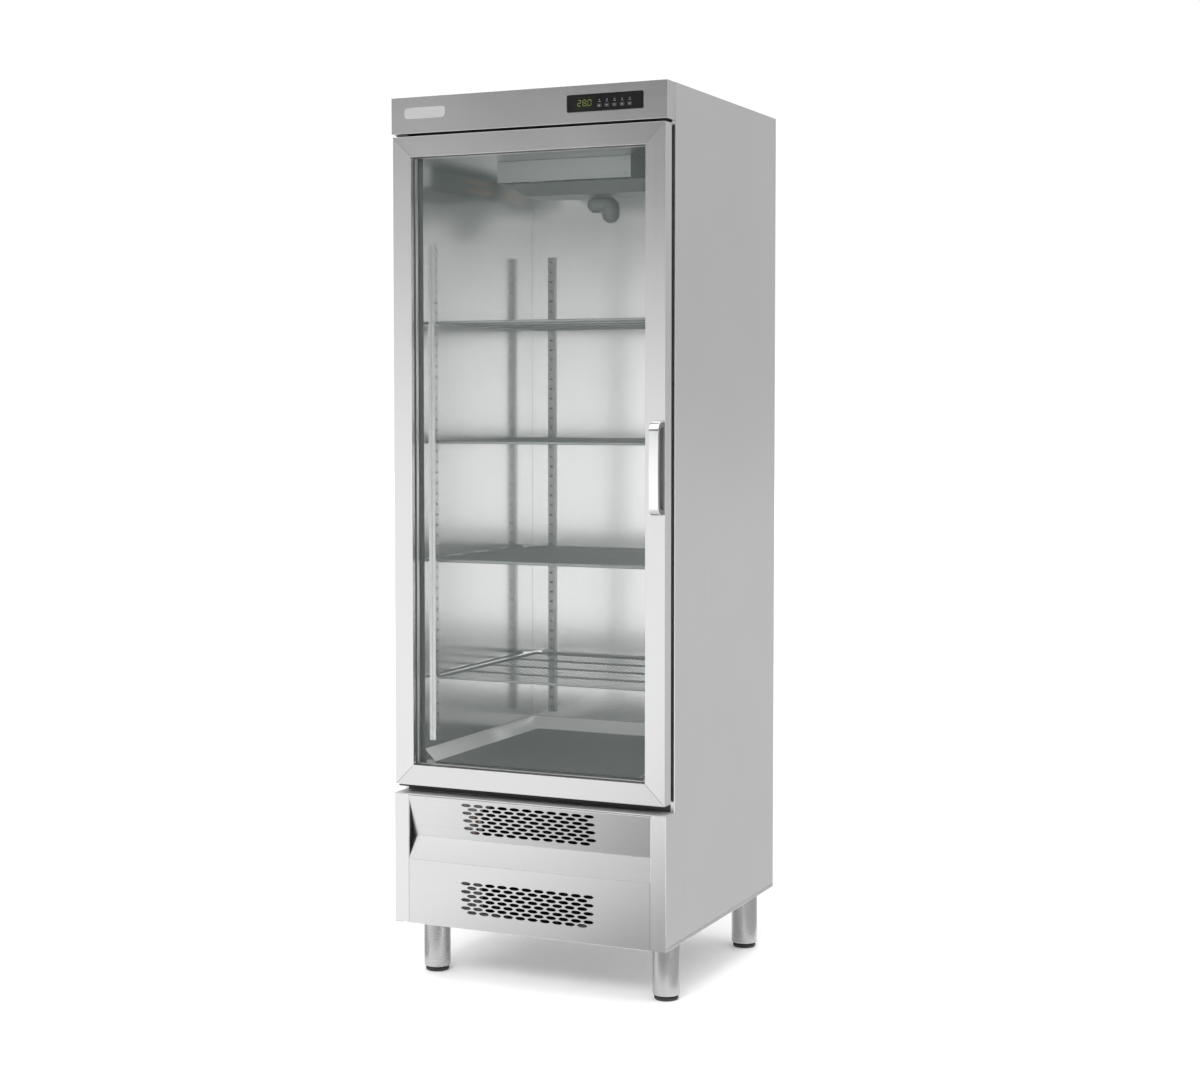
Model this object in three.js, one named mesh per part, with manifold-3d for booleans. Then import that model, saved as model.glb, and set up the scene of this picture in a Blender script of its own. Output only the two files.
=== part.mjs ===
// Upright proofing cabinet with one glass door: stainless outer skin over insulating foam, a lined
// chamber with four wire shelves, an air unit under the ceiling, a machine compartment behind a folded
// grille panel, and four adjustable legs.
// Millimetres. +X is to the right of someone facing the door, +Y goes back from the door, +Z is up.
// The origin is on the floor under the middle of the whole object, handle included.
import * as THREE from 'three';
import { mergeVertices } from 'three/addons/utils/BufferGeometryUtils.js';
import Module from 'manifold-3d';

const wasm = await Module();
wasm.setup();

// ---- driving dimensions -------------------------------------------------------------------------
const WIDTH = 693;
const HEIGHT = 2067;
const BODY_DEPTH = 702;
const HANDLE_REACH = 40;
const SKIN = 1.2;
const LINER = 1;
const GAP = 0.3;

const LEG_HEIGHT = 138;
const LOWER_TOP = 444;
const DOOR_BOTTOM = 466;
const DOOR_TOP = 1977;
const FASCIA_BOTTOM = 1983;

const DOOR_HALF = 343;
const DOOR_THICK = 36;
const FRAME_WIDE = 48;
const FASCIA_DEEP = 46.5;
const BODY_FRONT = 50;

const CHAMBER_HALF = 291.5;
const CHAMBER_FLOOR = 517;
const CHAMBER_TOP = 1940;
const CHAMBER_BACK = 620;
const SHELF_LEVELS = [712, 989, 1269, 1550];

const HALF = WIDTH / 2;
const FRONT = HANDLE_REACH - (BODY_DEPTH + HANDLE_REACH) / 2;
const MIRRORED = [['left', -1], ['right', 1]];

// ---- materials ----------------------------------------------------------------------------------
function finish(color, roughness, metalness) {
  return new THREE.MeshStandardMaterial({ color, roughness, metalness });
}

const STEEL = finish(0xc4c6c8, 0.35, 0.9);
const BRIGHT_STEEL = finish(0xdcdddd, 0.2, 0.95);
const WIRE = finish(0x7d817e, 0.4, 0.7);
const DARK_PLASTIC = finish(0x2a2c2d, 0.55, 0);
const BLACK_PLASTIC = finish(0x0e0f10, 0.3, 0);
const GREY_PLASTIC = finish(0x5d605f, 0.5, 0);
const SEAL = finish(0x35373a, 0.7, 0);
const FOAM = finish(0xd9cf9a, 0.95, 0);
const FIN_METAL = finish(0x8b918f, 0.45, 0.7);
const BLACK_PAINT = finish(0x18191a, 0.5, 0.2);
const FOOT_BLACK = finish(0x1c1d1e, 0.6, 0);
const GLASS = new THREE.MeshStandardMaterial({
  color: 0xdfe8e6, roughness: 0.05, metalness: 0, transparent: true, opacity: 0.3,
});

// ---- shapes -------------------------------------------------------------------------------------
const cabinet = new THREE.Group();

function node(name, geometry, material) {
  const mesh = new THREE.Mesh(geometry, material);
  mesh.name = name;
  cabinet.add(mesh);
}

function solid(geometry) {
  const bare = geometry.clone();
  bare.deleteAttribute('normal');
  bare.deleteAttribute('uv');
  const merged = mergeVertices(bare, 1e-4);
  return new wasm.Manifold(new wasm.Mesh({
    numProp: 3,
    vertProperties: new Float32Array(merged.attributes.position.array),
    triVerts: new Uint32Array(merged.index.array),
  }));
}

function geometryOf(manifold) {
  const mesh = manifold.getMesh();
  const geometry = new THREE.BufferGeometry();
  geometry.setAttribute('position', new THREE.BufferAttribute(new Float32Array(mesh.vertProperties), 3));
  geometry.setIndex(new THREE.BufferAttribute(new Uint32Array(mesh.triVerts), 1));
  geometry.computeVertexNormals();
  return geometry;
}

function join(...geometries) {
  return geometryOf(geometries.map(solid).reduce((sum, part) => sum.add(part)));
}

function cut(geometry, ...tools) {
  return geometryOf(tools.map(solid).reduce((rest, tool) => rest.subtract(tool), solid(geometry)));
}

// A block given by its X range, its depth range behind the door's front face, and its Z range.
function block([x0, x1], [d0, d1], [z0, z1]) {
  const geometry = new THREE.BoxGeometry(x1 - x0, d1 - d0, z1 - z0);
  return geometry.translate((x0 + x1) / 2, FRONT + (d0 + d1) / 2, (z0 + z1) / 2);
}

function outline(points, holes = []) {
  const around = points.map(([u, v]) => new THREE.Vector2(u, v));
  if (THREE.ShapeUtils.isClockWise(around)) around.reverse();
  const shape = new THREE.Shape(around);
  for (const hole of holes) {
    shape.holes.push(new THREE.Path(hole.map(([u, v]) => new THREE.Vector2(u, v))));
  }
  return shape;
}

function extruded(shape, length, u, v, w) {
  const geometry = new THREE.ExtrudeGeometry(shape, { depth: length, bevelEnabled: false, steps: 1 });
  return geometry.applyMatrix4(new THREE.Matrix4().makeBasis(u, v, w));
}

const X = new THREE.Vector3(1, 0, 0);
const Y = new THREE.Vector3(0, 1, 0);
const Z = new THREE.Vector3(0, 0, 1);

// An outline in depth and height, drawn out along X.
function alongX(points, [x0, x1], holes = []) {
  return extruded(outline(points, holes), x1 - x0, Y, Z, X).translate(x0, FRONT, 0);
}

// An outline in X and height, drawn out along the depth.
function alongY(points, [d0, d1], holes = []) {
  const swapped = (list) => list.map(([x, z]) => [z, x]);
  const shape = outline(swapped(points), holes.map(swapped));
  return extruded(shape, d1 - d0, Z, X, Y).translate(0, FRONT + d0, 0);
}

// An outline in X and depth, drawn out upward.
function alongZ(points, [z0, z1], holes = []) {
  return extruded(outline(points, holes), z1 - z0, X, Y, Z).translate(0, FRONT, z0);
}

function rectangle([u0, u1], [v0, v1]) {
  return [[u0, v0], [u1, v0], [u1, v1], [u0, v1]];
}

// Closed outline of a sheet folded along a line of points, thickened to the left of its direction.
function folded(points, thick) {
  const directions = points.slice(1).map(([u, v], i) => {
    const run = Math.hypot(u - points[i][0], v - points[i][1]);
    return [(u - points[i][0]) / run, (v - points[i][1]) / run];
  });
  const far = points.map(([u, v], i) => {
    const before = directions[Math.max(i - 1, 0)];
    const after = directions[Math.min(i, directions.length - 1)];
    const side = [-(before[1] + after[1]) / 2, (before[0] + after[0]) / 2];
    const scale = thick / (side[0] ** 2 + side[1] ** 2);
    return [u + side[0] * scale, v + side[1] * scale];
  });
  return [...points, ...far.reverse()];
}

// A solid of revolution about an upright axis; the profile holds [radius, height] pairs.
function turned(profile, x, depth, segments = 24) {
  const geometry = new THREE.LatheGeometry(profile.map(([r, z]) => new THREE.Vector2(r, z)), segments);
  return geometry.rotateX(Math.PI / 2).translate(x, FRONT + depth, 0);
}

// ---- outer skin ---------------------------------------------------------------------------------
const STILE_WIDE = 38;
const STILE_RETURN = 4;
const EDGE_RETURN = 10;
const BOTTOM_RETURN = 20;
const REAR_RETURN = 16;
const BACK_PANEL_DEPTH = 688;
const GLAND = { x: 255, z: 230, neck: 8 };

function sidePanel(sign) {
  const outer = sign * HALF;
  const span = (a, b) => [Math.min(sign * a, sign * b), Math.max(sign * a, sign * b)];
  const side = [[BODY_FRONT, HEIGHT], [BODY_DEPTH, HEIGHT], [BODY_DEPTH, LEG_HEIGHT],
    [0, LEG_HEIGHT], [0, LOWER_TOP], [BODY_FRONT, LOWER_TOP]];
  const inner = outer - sign * SKIN;
  const stileEdge = HALF - STILE_WIDE;
  return join(
    alongX(side, [Math.min(outer, inner), Math.max(outer, inner)]),
    block(span(stileEdge, HALF), [0, SKIN], [LEG_HEIGHT, LOWER_TOP]),
    block(span(stileEdge, stileEdge + SKIN), [0, STILE_RETURN], [LEG_HEIGHT, LOWER_TOP]),
    block(span(HALF - EDGE_RETURN, HALF), [BODY_FRONT, BODY_FRONT + SKIN], [LOWER_TOP, HEIGHT - 2]),
    block(span(HALF - BOTTOM_RETURN, HALF), [0, BODY_DEPTH], [LEG_HEIGHT, LEG_HEIGHT + SKIN]),
    block(span(HALF - REAR_RETURN, HALF), [BODY_DEPTH - SKIN, BODY_DEPTH], [LEG_HEIGHT, HEIGHT - 2]),
  );
}

function backPanel() {
  const half = HALF - SKIN - GAP;
  const span = [BACK_PANEL_DEPTH, BACK_PANEL_DEPTH + SKIN];
  const slots = [];
  for (let row = 0; row < 7; row += 1) {
    const low = 200 + row * 30;
    for (const columns of [[-260, -20], [20, 200]]) {
      slots.push(block(columns, [span[0] - 1, span[1] + 1], [low, low + 8]));
    }
  }
  const hole = new THREE.CylinderGeometry(GLAND.neck + GAP, GLAND.neck + GAP, 4, 16);
  hole.translate(GLAND.x, FRONT + span[0], GLAND.z);
  return cut(block([-half, half], span, [LEG_HEIGHT + 4, HEIGHT - SKIN - GAP]), ...slots, hole);
}

function topPanel() {
  const half = HALF - SKIN - GAP;
  return block([-half, half], [FASCIA_DEEP + 0.5, BODY_DEPTH - SKIN - GAP], [HEIGHT - SKIN, HEIGHT]);
}

const PAN_FRONT = 30;
const PAN_LIP_HALF = 300;
const PAN_LIP_TALL = 20;

function basePan() {
  const half = HALF - SKIN - GAP;
  const floor = LEG_HEIGHT + SKIN + GAP;
  return join(
    block([-half, half], [PAN_FRONT, BACK_PANEL_DEPTH - GAP], [floor, floor + SKIN]),
    block([-PAN_LIP_HALF, PAN_LIP_HALF], [PAN_FRONT, PAN_FRONT + SKIN], [floor, floor + PAN_LIP_TALL]),
  );
}

MIRRORED.forEach(([word, sign]) => node(`side_panel_${word}`, sidePanel(sign), STEEL));
node('back_panel', backPanel(), STEEL);
node('top_panel', topPanel(), STEEL);
node('base_pan', basePan(), STEEL);

// ---- chamber ------------------------------------------------------------------------------------
const SURROUND_BACK = BODY_FRONT + 8.5;
const COVE = 28;

function insulation() {
  const half = HALF - SKIN - 2 * GAP;
  const hollow = CHAMBER_HALF + LINER + GAP;
  const depth = [SURROUND_BACK + GAP, BACK_PANEL_DEPTH - GAP];
  return cut(
    block([-half, half], depth, [LOWER_TOP + 8, HEIGHT - SKIN - GAP]),
    block([-hollow, hollow], [0, CHAMBER_BACK + LINER + GAP],
      [CHAMBER_FLOOR - LINER - GAP, CHAMBER_TOP + LINER + GAP]),
  );
}

function linerSide(sign) {
  const span = [sign * CHAMBER_HALF, sign * (CHAMBER_HALF + LINER)].sort((a, b) => a - b);
  return block(span, [BODY_FRONT + GAP, CHAMBER_BACK], [CHAMBER_FLOOR + COVE + 1.2, CHAMBER_TOP - GAP]);
}

// The floor is a pan whose sides and back rise in sloping coves.
function linerFloor() {
  const half = CHAMBER_HALF + LINER;
  const low = CHAMBER_FLOOR - LINER;
  const high = CHAMBER_FLOOR + COVE;
  const across = [[half, high], [half - COVE, low], [COVE - half, low], [-half, high]];
  const back = CHAMBER_BACK + LINER;
  const rear = [[BODY_FRONT + GAP, low], [back - COVE, low], [back, high]];
  const sides = alongY(folded(across.slice().reverse(), LINER), [BODY_FRONT + GAP, back - 1.5]);
  const lip = block([COVE - half, half - COVE], [BODY_FRONT + GAP, BODY_FRONT + GAP + LINER],
    [CHAMBER_FLOOR - 8.5, CHAMBER_FLOOR]);
  return join(sides, alongX(folded(rear, LINER), [COVE - half, half - COVE]), lip);
}

MIRRORED.forEach(([word, sign]) => node(`liner_${word}`, linerSide(sign), BRIGHT_STEEL));
node('liner_back',
  block([-CHAMBER_HALF + GAP, CHAMBER_HALF - GAP], [CHAMBER_BACK + GAP, CHAMBER_BACK + GAP + LINER],
    [CHAMBER_FLOOR + COVE + 2, CHAMBER_TOP - GAP]), BRIGHT_STEEL);
node('liner_ceiling',
  block([-CHAMBER_HALF - LINER, CHAMBER_HALF + LINER], [BODY_FRONT + GAP, CHAMBER_BACK + LINER],
    [CHAMBER_TOP, CHAMBER_TOP + LINER]), BRIGHT_STEEL);
node('liner_floor', linerFloor(), BRIGHT_STEEL);
node('insulation_foam', insulation(), FOAM);

// The plastic frame round the mouth of the chamber, which the door seal closes against.
function doorSurround() {
  const half = HALF - EDGE_RETURN - 0.5;
  const mouth = CHAMBER_HALF + LINER + GAP;
  return alongY(
    rectangle([-half, half], [LOWER_TOP + 2, HEIGHT - 3]),
    [BODY_FRONT + GAP, SURROUND_BACK],
    [rectangle([-mouth, mouth], [CHAMBER_FLOOR - 9, CHAMBER_TOP + LINER + GAP])],
  );
}

function sillLedge() {
  const shelf = LOWER_TOP + GAP;
  const half = HALF - STILE_WIDE - 0.5;
  const deep = BODY_FRONT - 0.5;
  return join(
    block([-HALF, HALF], [0, deep], [shelf, shelf + SKIN]),
    block([-half, half], [0, SKIN], [LOWER_TOP - 1, shelf + SKIN]),
  );
}

node('door_surround', doorSurround(), DARK_PLASTIC);
node('sill_ledge', sillLedge(), STEEL);

// ---- control fascia -----------------------------------------------------------------------------
const CONTROLLER = { x: [105, 290], z: [2007, 2046] };
const KEY_COUNT = 5;
const KEY_WIDE = 12;
const KEY_TALL = 8;
const KEY_Z = 2019;
const KEY_FIRST_X = 185;
const KEY_PITCH = 18.4;
const BEZEL_PROUD = 2.4;

const keyCentres = Array.from({ length: KEY_COUNT }, (_, i) => KEY_FIRST_X + i * KEY_PITCH);

function controlFascia() {
  const [x0, x1] = CONTROLLER.x;
  const [z0, z1] = CONTROLLER.z;
  return cut(
    block([-HALF, HALF], [0, FASCIA_DEEP], [FASCIA_BOTTOM, HEIGHT]),
    block([SKIN - HALF, HALF - SKIN], [SKIN, FASCIA_DEEP + 1], [FASCIA_BOTTOM + SKIN, HEIGHT - SKIN]),
    block([x0 + 3, x1 - 3], [-1, SKIN + 1], [z0 + 3, z1 - 3]),
  );
}

function controllerHousing() {
  const [x0, x1] = CONTROLLER.x;
  const [z0, z1] = CONTROLLER.z;
  const bezel = block([x0, x1], [-BEZEL_PROUD, -GAP], [z0, z1]);
  const body = block([x0 + 3.5, x1 - 3.5], [-GAP - 0.2, 40], [z0 + 3.5, z1 - 3.5]);
  const window = block([x0 + 22, x0 + 68], [-BEZEL_PROUD - 1, 1 - BEZEL_PROUD], [z0 + 7, z1 - 7]);
  const pockets = keyCentres.map((x) => block(
    [x - KEY_WIDE / 2 - 0.5, x + KEY_WIDE / 2 + 0.5], [-BEZEL_PROUD - 1, 0.6],
    [KEY_Z - KEY_TALL / 2 - 0.5, KEY_Z + KEY_TALL / 2 + 0.5],
  ));
  return cut(join(bezel, body), window, ...pockets);
}

function key(x) {
  const tip = -BEZEL_PROUD - 0.9;
  return block([x - KEY_WIDE / 2, x + KEY_WIDE / 2], [tip, tip + 2.3],
    [KEY_Z - KEY_TALL / 2, KEY_Z + KEY_TALL / 2]);
}

function badgePlate() {
  const [x0, x1] = [-311, -203];
  const [z0, z1] = [2016, 2042];
  const corner = 5;
  const plate = [[x0 + corner, z0], [x1 - corner, z0], [x1, z0 + corner], [x1, z1 - corner],
    [x1 - corner, z1], [x0 + corner, z1], [x0, z1 - corner], [x0, z0 + corner]];
  return alongY(plate, [-2, -GAP]);
}

node('control_fascia', controlFascia(), STEEL);
node('controller_housing', controllerHousing(), BLACK_PLASTIC);
keyCentres.forEach((x, i) => node(`key_${i + 1}`, key(x), GREY_PLASTIC));
node('badge_plate', badgePlate(), BRIGHT_STEEL);

// ---- shelves and their pilasters ----------------------------------------------------------------
const PILASTER_WIDE = 18;
const PILASTER_DEEP = 8;
const PILASTER_BOTTOM = 560;
const PILASTER_TOP = 1735;
const PILASTER_REAR_X = 233;
const PILASTER_FRONT_DEPTH = 96;
const SLOT_PITCH = 75;
const SHELF_HALF = 279;
const SHELF_FRONT = 80;
const SHELF_BACK = 606;
const ROD = 6;
const CLIP_REACH = 16;
const CLIP_THICK = 2.5;

// One pilaster in its own frame: u across its face, v out from the wall, z up.
function pilaster(place) {
  const half = PILASTER_WIDE / 2;
  const channel = [[-half, 0], [-half, PILASTER_DEEP], [half, PILASTER_DEEP], [half, 0], [half - 1.5, 0],
    [half - 1.5, PILASTER_DEEP - 1.5], [1.5 - half, PILASTER_DEEP - 1.5], [1.5 - half, 0]];
  const post = extruded(outline(channel), PILASTER_TOP - PILASTER_BOTTOM, X, Y, Z);
  post.translate(0, 0, PILASTER_BOTTOM);
  const slots = [];
  for (let z = PILASTER_BOTTOM + 20; z < PILASTER_TOP - 10; z += SLOT_PITCH) {
    slots.push(new THREE.BoxGeometry(10, 6, 5).translate(0, PILASTER_DEEP, z));
  }
  const clips = SHELF_LEVELS.map((level) => {
    const top = level - ROD / 2 - GAP;
    const plate = new THREE.BoxGeometry(14, CLIP_REACH, CLIP_THICK);
    return plate.translate(0, PILASTER_DEEP + CLIP_REACH / 2 - 1, top - CLIP_THICK / 2);
  });
  return place(join(cut(post, ...slots), ...clips));
}

function wireShelf(level) {
  const low = level - ROD / 2;
  const high = level + ROD / 2;
  const rim = alongZ(
    rectangle([-SHELF_HALF, SHELF_HALF], [SHELF_FRONT, SHELF_BACK]),
    [low, high],
    [rectangle([ROD - SHELF_HALF, SHELF_HALF - ROD], [SHELF_FRONT + ROD, SHELF_BACK - ROD])],
  );
  const bars = [];
  for (const depth of [SHELF_FRONT + 170, SHELF_BACK - 170]) {
    bars.push(block([1 - SHELF_HALF, SHELF_HALF - 1], [depth - 2.5, depth + 2.5], [low + 0.5, level + 1]));
  }
  for (let x = -230; x <= 230; x += 46) {
    bars.push(block([x - 1.5, x + 1.5], [SHELF_FRONT + 1, SHELF_BACK - 1], [level - 0.5, level + 2.5]));
  }
  return join(rim, ...bars);
}

MIRRORED.forEach(([word, sign]) => {
  const wall = (geometry) => geometry
    .rotateZ(sign * Math.PI / 2)
    .translate(sign * (CHAMBER_HALF - GAP), FRONT + PILASTER_FRONT_DEPTH, 0);
  node(`pilaster_front_${word}`, pilaster(wall), BRIGHT_STEEL);
  const rear = (geometry) => geometry
    .rotateZ(Math.PI)
    .translate(sign * PILASTER_REAR_X, FRONT + CHAMBER_BACK, 0);
  node(`pilaster_rear_${word}`, pilaster(rear), BRIGHT_STEEL);
});
SHELF_LEVELS.forEach((level, i) => node(`shelf_${i + 1}`, wireShelf(level), WIRE));

// ---- air unit under the ceiling -----------------------------------------------------------------
const UNIT_FRONT = 250;
const UNIT_LEFT = -200;
const UNIT_RIGHT = 150;
const UNIT_LOW = 1889;
const UNIT_HIGH = CHAMBER_TOP - GAP;
const BLOWER = { x: -25, depth: 342, radius: 70 };

function upright(radius, [z0, z1], x, depth, segments = 24) {
  return turned([[0, z0], [radius, z0], [radius, z1], [0, z1]], x, depth, segments);
}

function evaporatorCover() {
  const shell = cut(
    block([UNIT_LEFT, UNIT_RIGHT], [UNIT_FRONT, 426], [UNIT_LOW, UNIT_HIGH]),
    block([UNIT_LEFT + SKIN, UNIT_RIGHT - SKIN], [UNIT_FRONT + SKIN, 430], [UNIT_LOW - 1, UNIT_HIGH - SKIN]),
  );
  const motor = upright(20, [1914, UNIT_HIGH - 0.5], BLOWER.x, BLOWER.depth);
  const shaft = upright(3, [1901, 1914.5], BLOWER.x, BLOWER.depth, 12);
  return join(shell, motor, shaft);
}

// A fan about an upright axis at the origin, from z = 0 to the hub's height, open on top.
function fan(radius, hub, height, blades) {
  const parts = [new THREE.CylinderGeometry(hub, hub, height, 24).rotateX(Math.PI / 2)];
  for (let i = 0; i < blades; i += 1) {
    const blade = new THREE.BoxGeometry(radius - hub + 3, hub * 1.7, 1.6);
    blade.translate((radius + hub - 3) / 2, 0, 0);
    parts.push(blade.rotateX(0.42).rotateZ((i * 2 * Math.PI) / blades));
  }
  const bore = new THREE.CylinderGeometry(3.5, 3.5, height, 12).rotateX(Math.PI / 2).translate(0, 0, 2);
  return cut(join(...parts), bore).translate(0, 0, height / 2);
}

// Fins across a core, seen from above as a comb with teeth on both sides.
function finnedBlock([x0, x1], [d0, d1], [z0, z1], pitch) {
  const core = [(d0 + d1) / 2 - 4, (d0 + d1) / 2 + 4];
  const count = Math.floor((x1 - x0) / pitch);
  const front = [];
  const back = [];
  for (let i = 0; i <= count; i += 1) {
    const x = x0 + i * pitch;
    front.push([x, core[0]], [x, d0], [x + 2, d0], [x + 2, core[0]]);
    back.push([x, core[1]], [x, d1], [x + 2, d1], [x + 2, core[1]]);
  }
  return alongZ([...front, ...back.reverse()], [z0, z1]);
}

// An open hopper under the finned block: its four walls lean in to a small flat bottom.
function dripTray() {
  const top = { x: [-188, 238], d: [256, 596], z: UNIT_LOW - 3 };
  const bottom = { x: [-150, 215], d: [285, 400], z: 1857 };
  const hopper = (inset, lift) => {
    const corners = (ring, z) => [[0, 0], [1, 0], [1, 1], [0, 1]].map(([i, j]) => [
      ring.x[i] + (i ? -inset : inset), FRONT + ring.d[j] + (j ? -inset : inset), z,
    ]);
    const points = [...corners(bottom, bottom.z + lift), ...corners(top, top.z + lift)];
    const geometry = new THREE.BufferGeometry();
    geometry.setAttribute('position', new THREE.Float32BufferAttribute(points.flat(), 3));
    const faces = [[0, 2, 1], [0, 3, 2], [4, 5, 6], [4, 6, 7]];
    for (let i = 0; i < 4; i += 1) {
      const next = (i + 1) % 4;
      faces.push([i, next, next + 4], [i, next + 4, i + 4]);
    }
    geometry.setIndex(faces.flat());
    return geometry;
  };
  return cut(hopper(0, 0), hopper(2.2, 2));
}

// The drain starts round under the tray, runs level, turns down and ends in a round nose.
function drainElbow() {
  const pipe = 19.5;
  const nose = 22;
  const depth = 342;
  const from = { x: 17, z: 1836.5 };
  const down = { x: 57, z: 1813 };
  const run = down.x - from.x;
  const fall = from.z - down.z;
  const ball = (size) => new THREE.SphereGeometry(size, 16, 10);
  const level = new THREE.CylinderGeometry(pipe, pipe, run, 16).rotateZ(Math.PI / 2);
  const drop = new THREE.CylinderGeometry(pipe, nose, fall, 16).rotateX(Math.PI / 2);
  const place = (geometry, x, height) => geometry.translate(x, FRONT + depth, height);
  return join(
    place(ball(pipe), from.x, from.z),
    place(level, (from.x + down.x) / 2, from.z),
    place(ball(pipe), down.x, from.z),
    place(drop, down.x, (from.z + down.z) / 2),
    place(ball(nose), down.x, down.z),
  );
}

node('evaporator_cover', evaporatorCover(), STEEL);
node('evaporator_fan', fan(BLOWER.radius, 16, 13, 5).translate(BLOWER.x, FRONT + BLOWER.depth, 1898),
  BLACK_PLASTIC);
node('evaporator_coil', finnedBlock([-190, 240], [430, 590], [1892, 1936], 21), FIN_METAL);
node('air_heater',
  new THREE.TorusGeometry(82, 3.5, 6, 32).translate(BLOWER.x, FRONT + BLOWER.depth, 1922), FIN_METAL);
node('drip_tray', dripTray(), GREY_PLASTIC);
node('drain_elbow', drainElbow(), GREY_PLASTIC);

// ---- machine compartment ------------------------------------------------------------------------
const COOLER = { x: 0, z: 285, radius: 92, opening: 100 };

// An upright piece laid on its back, so that its top points to the rear.
function facingBack(geometry, x, depth, z) {
  return geometry.rotateX(-Math.PI / 2).translate(x, FRONT + depth, z);
}

function compressor() {
  const base = LEG_HEIGHT + 2 * SKIN + 2 * GAP;
  const can = [[0, base + 6], [62, base + 6], [74, base + 24], [76, base + 90], [72, base + 130],
    [56, base + 160], [28, base + 172], [0, base + 174]];
  return join(
    turned(can, -170, 470, 32),
    block([-270, -70], [380, 560], [base, base + 8]),
    block([-110, -76], [450, 490], [base + 60, base + 110]),
  );
}

function fanShroud() {
  const ring = Array.from({ length: 40 }, (_, i) => {
    const angle = (i * Math.PI) / 20;
    return [COOLER.x + COOLER.opening * Math.cos(angle), COOLER.z + COOLER.opening * Math.sin(angle)];
  });
  const plate = alongY(rectangle([-150, 150], [160, 410]), [112, 114], [ring]);
  const cross = block([-125, 125], [150, 154], [COOLER.z - 7, COOLER.z + 7]);
  const posts = [-118, 118].map((x) => block([x - 5, x + 5], [112, 153], [COOLER.z - 7, COOLER.z + 7]));
  const motor = facingBack(new THREE.CylinderGeometry(34, 34, 44, 24).rotateX(Math.PI / 2),
    COOLER.x, 170, COOLER.z);
  const shaft = facingBack(new THREE.CylinderGeometry(3, 3, 25, 12).rotateX(Math.PI / 2),
    COOLER.x, 138, COOLER.z);
  return join(plate, cross, ...posts, motor, shaft);
}

function cableGland() {
  const nut = new THREE.CylinderGeometry(14, 14, 7, 6).rotateX(Math.PI / 2);
  const neck = new THREE.CylinderGeometry(GLAND.neck, GLAND.neck, 30, 16).rotateX(Math.PI / 2);
  const bore = new THREE.CylinderGeometry(4, 4, 34, 12).rotateX(Math.PI / 2);
  nut.translate(0, 0, 5);
  const body = cut(join(nut, neck.translate(0, 0, -4)), bore.translate(0, 0, -4));
  return facingBack(body, GLAND.x, BACK_PANEL_DEPTH, GLAND.z);
}

node('compressor', compressor(), BLACK_PAINT);
node('condenser_coil', finnedBlock([-150, 148], [62, 106], [162, 408], 20), FIN_METAL);
node('condenser_fan_motor', fanShroud(), BLACK_PAINT);
node('condenser_fan', facingBack(fan(COOLER.radius, 24, 16, 5), COOLER.x, 122, COOLER.z), BLACK_PLASTIC);

// ---- grille panel -------------------------------------------------------------------------------
const PANEL_TOP = LOWER_TOP - 2;
const PANEL_BOTTOM = LEG_HEIGHT + 0.5;
const FOLD = { depth: 20, z: 345 };
const LIP_Z = 291;
const SLOT = { rows: 8, pitchX: 31.4, pitchRow: 9.6, long: 27, tall: 8 };
const UPPER_FIELD_Z = 396;
const LOWER_FIELD_Z = 212.5;

// The panel runs down from its top return, leans in to the fold, comes out again and drops straight.
function grilleProfile() {
  return folded([[14, PANEL_BOTTOM], [0, PANEL_BOTTOM], [0, LIP_Z], [FOLD.depth, FOLD.z],
    [0, PANEL_TOP - 2], [0, PANEL_TOP], [16, PANEL_TOP]].reverse(), SKIN);
}

// Pointed slots in staggered rows, cut through a facet with its middle and its lean given.
function slotField(depth, z, lean) {
  const tools = [];
  for (let row = 0; row < SLOT.rows; row += 1) {
    const count = row % 2 ? 10 : 11;
    for (let i = 0; i < count; i += 1) {
      const slot = new THREE.CylinderGeometry(1, 1, 24, 4).scale(SLOT.long / 2, 1, SLOT.tall / 2);
      slot.translate((i - (count - 1) / 2) * SLOT.pitchX, 0, (row - (SLOT.rows - 1) / 2) * SLOT.pitchRow);
      tools.push(slot.rotateX(lean).translate(0, FRONT + depth, z));
    }
  }
  return tools;
}

function grillePanel() {
  const half = HALF - STILE_WIDE - 0.5;
  const facetTall = PANEL_TOP - 2 - FOLD.z;
  const upperDepth = FOLD.depth * (PANEL_TOP - 2 - UPPER_FIELD_Z) / facetTall;
  return cut(
    alongX(grilleProfile(), [-half, half]),
    ...slotField(upperDepth, UPPER_FIELD_Z, Math.atan2(FOLD.depth, facetTall)),
    ...slotField(0, LOWER_FIELD_Z, 0),
  );
}

node('grille_panel', grillePanel(), STEEL);

// ---- door ---------------------------------------------------------------------------------------
const GLASS_HALF = DOOR_HALF - 38;
const PANES = { outer: [15, 18.5], inner: [29, 32.5] };
const HINGE = { x: -331, depth: 18, radius: 4 };

// Section of the frame: w in from the door's edge, d back from its face. It is a tube with two lips
// that hold the panes.
const SECTION = [[0, 0], [FRAME_WIDE, 0], [FRAME_WIDE, 14.6], [37, 14.6], [37, 32.9], [46, 32.9],
  [46, DOOR_THICK], [0, DOOR_THICK]];
const SECTION_TUBE = rectangle([1.8, 35.2], [1.8, 34.2]);

// A bar of that section with both ends mitred, from its outer edge's start to its end.
function mitredBar(length) {
  const shape = outline(SECTION, [SECTION_TUBE]);
  const bar = new THREE.ExtrudeGeometry(shape, { depth: 1, bevelEnabled: false, steps: 1 });
  const position = bar.attributes.position;
  for (let i = 0; i < position.count; i += 1) {
    const inset = position.getX(i) + 0.2;
    position.setZ(i, position.getZ(i) < 0.5 ? inset : length - inset);
  }
  return bar;
}

function barPlaced(length, w, a, origin) {
  const basis = new THREE.Matrix4().makeBasis(w, Y, a).setPosition(origin);
  return mitredBar(length).applyMatrix4(basis);
}

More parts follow.
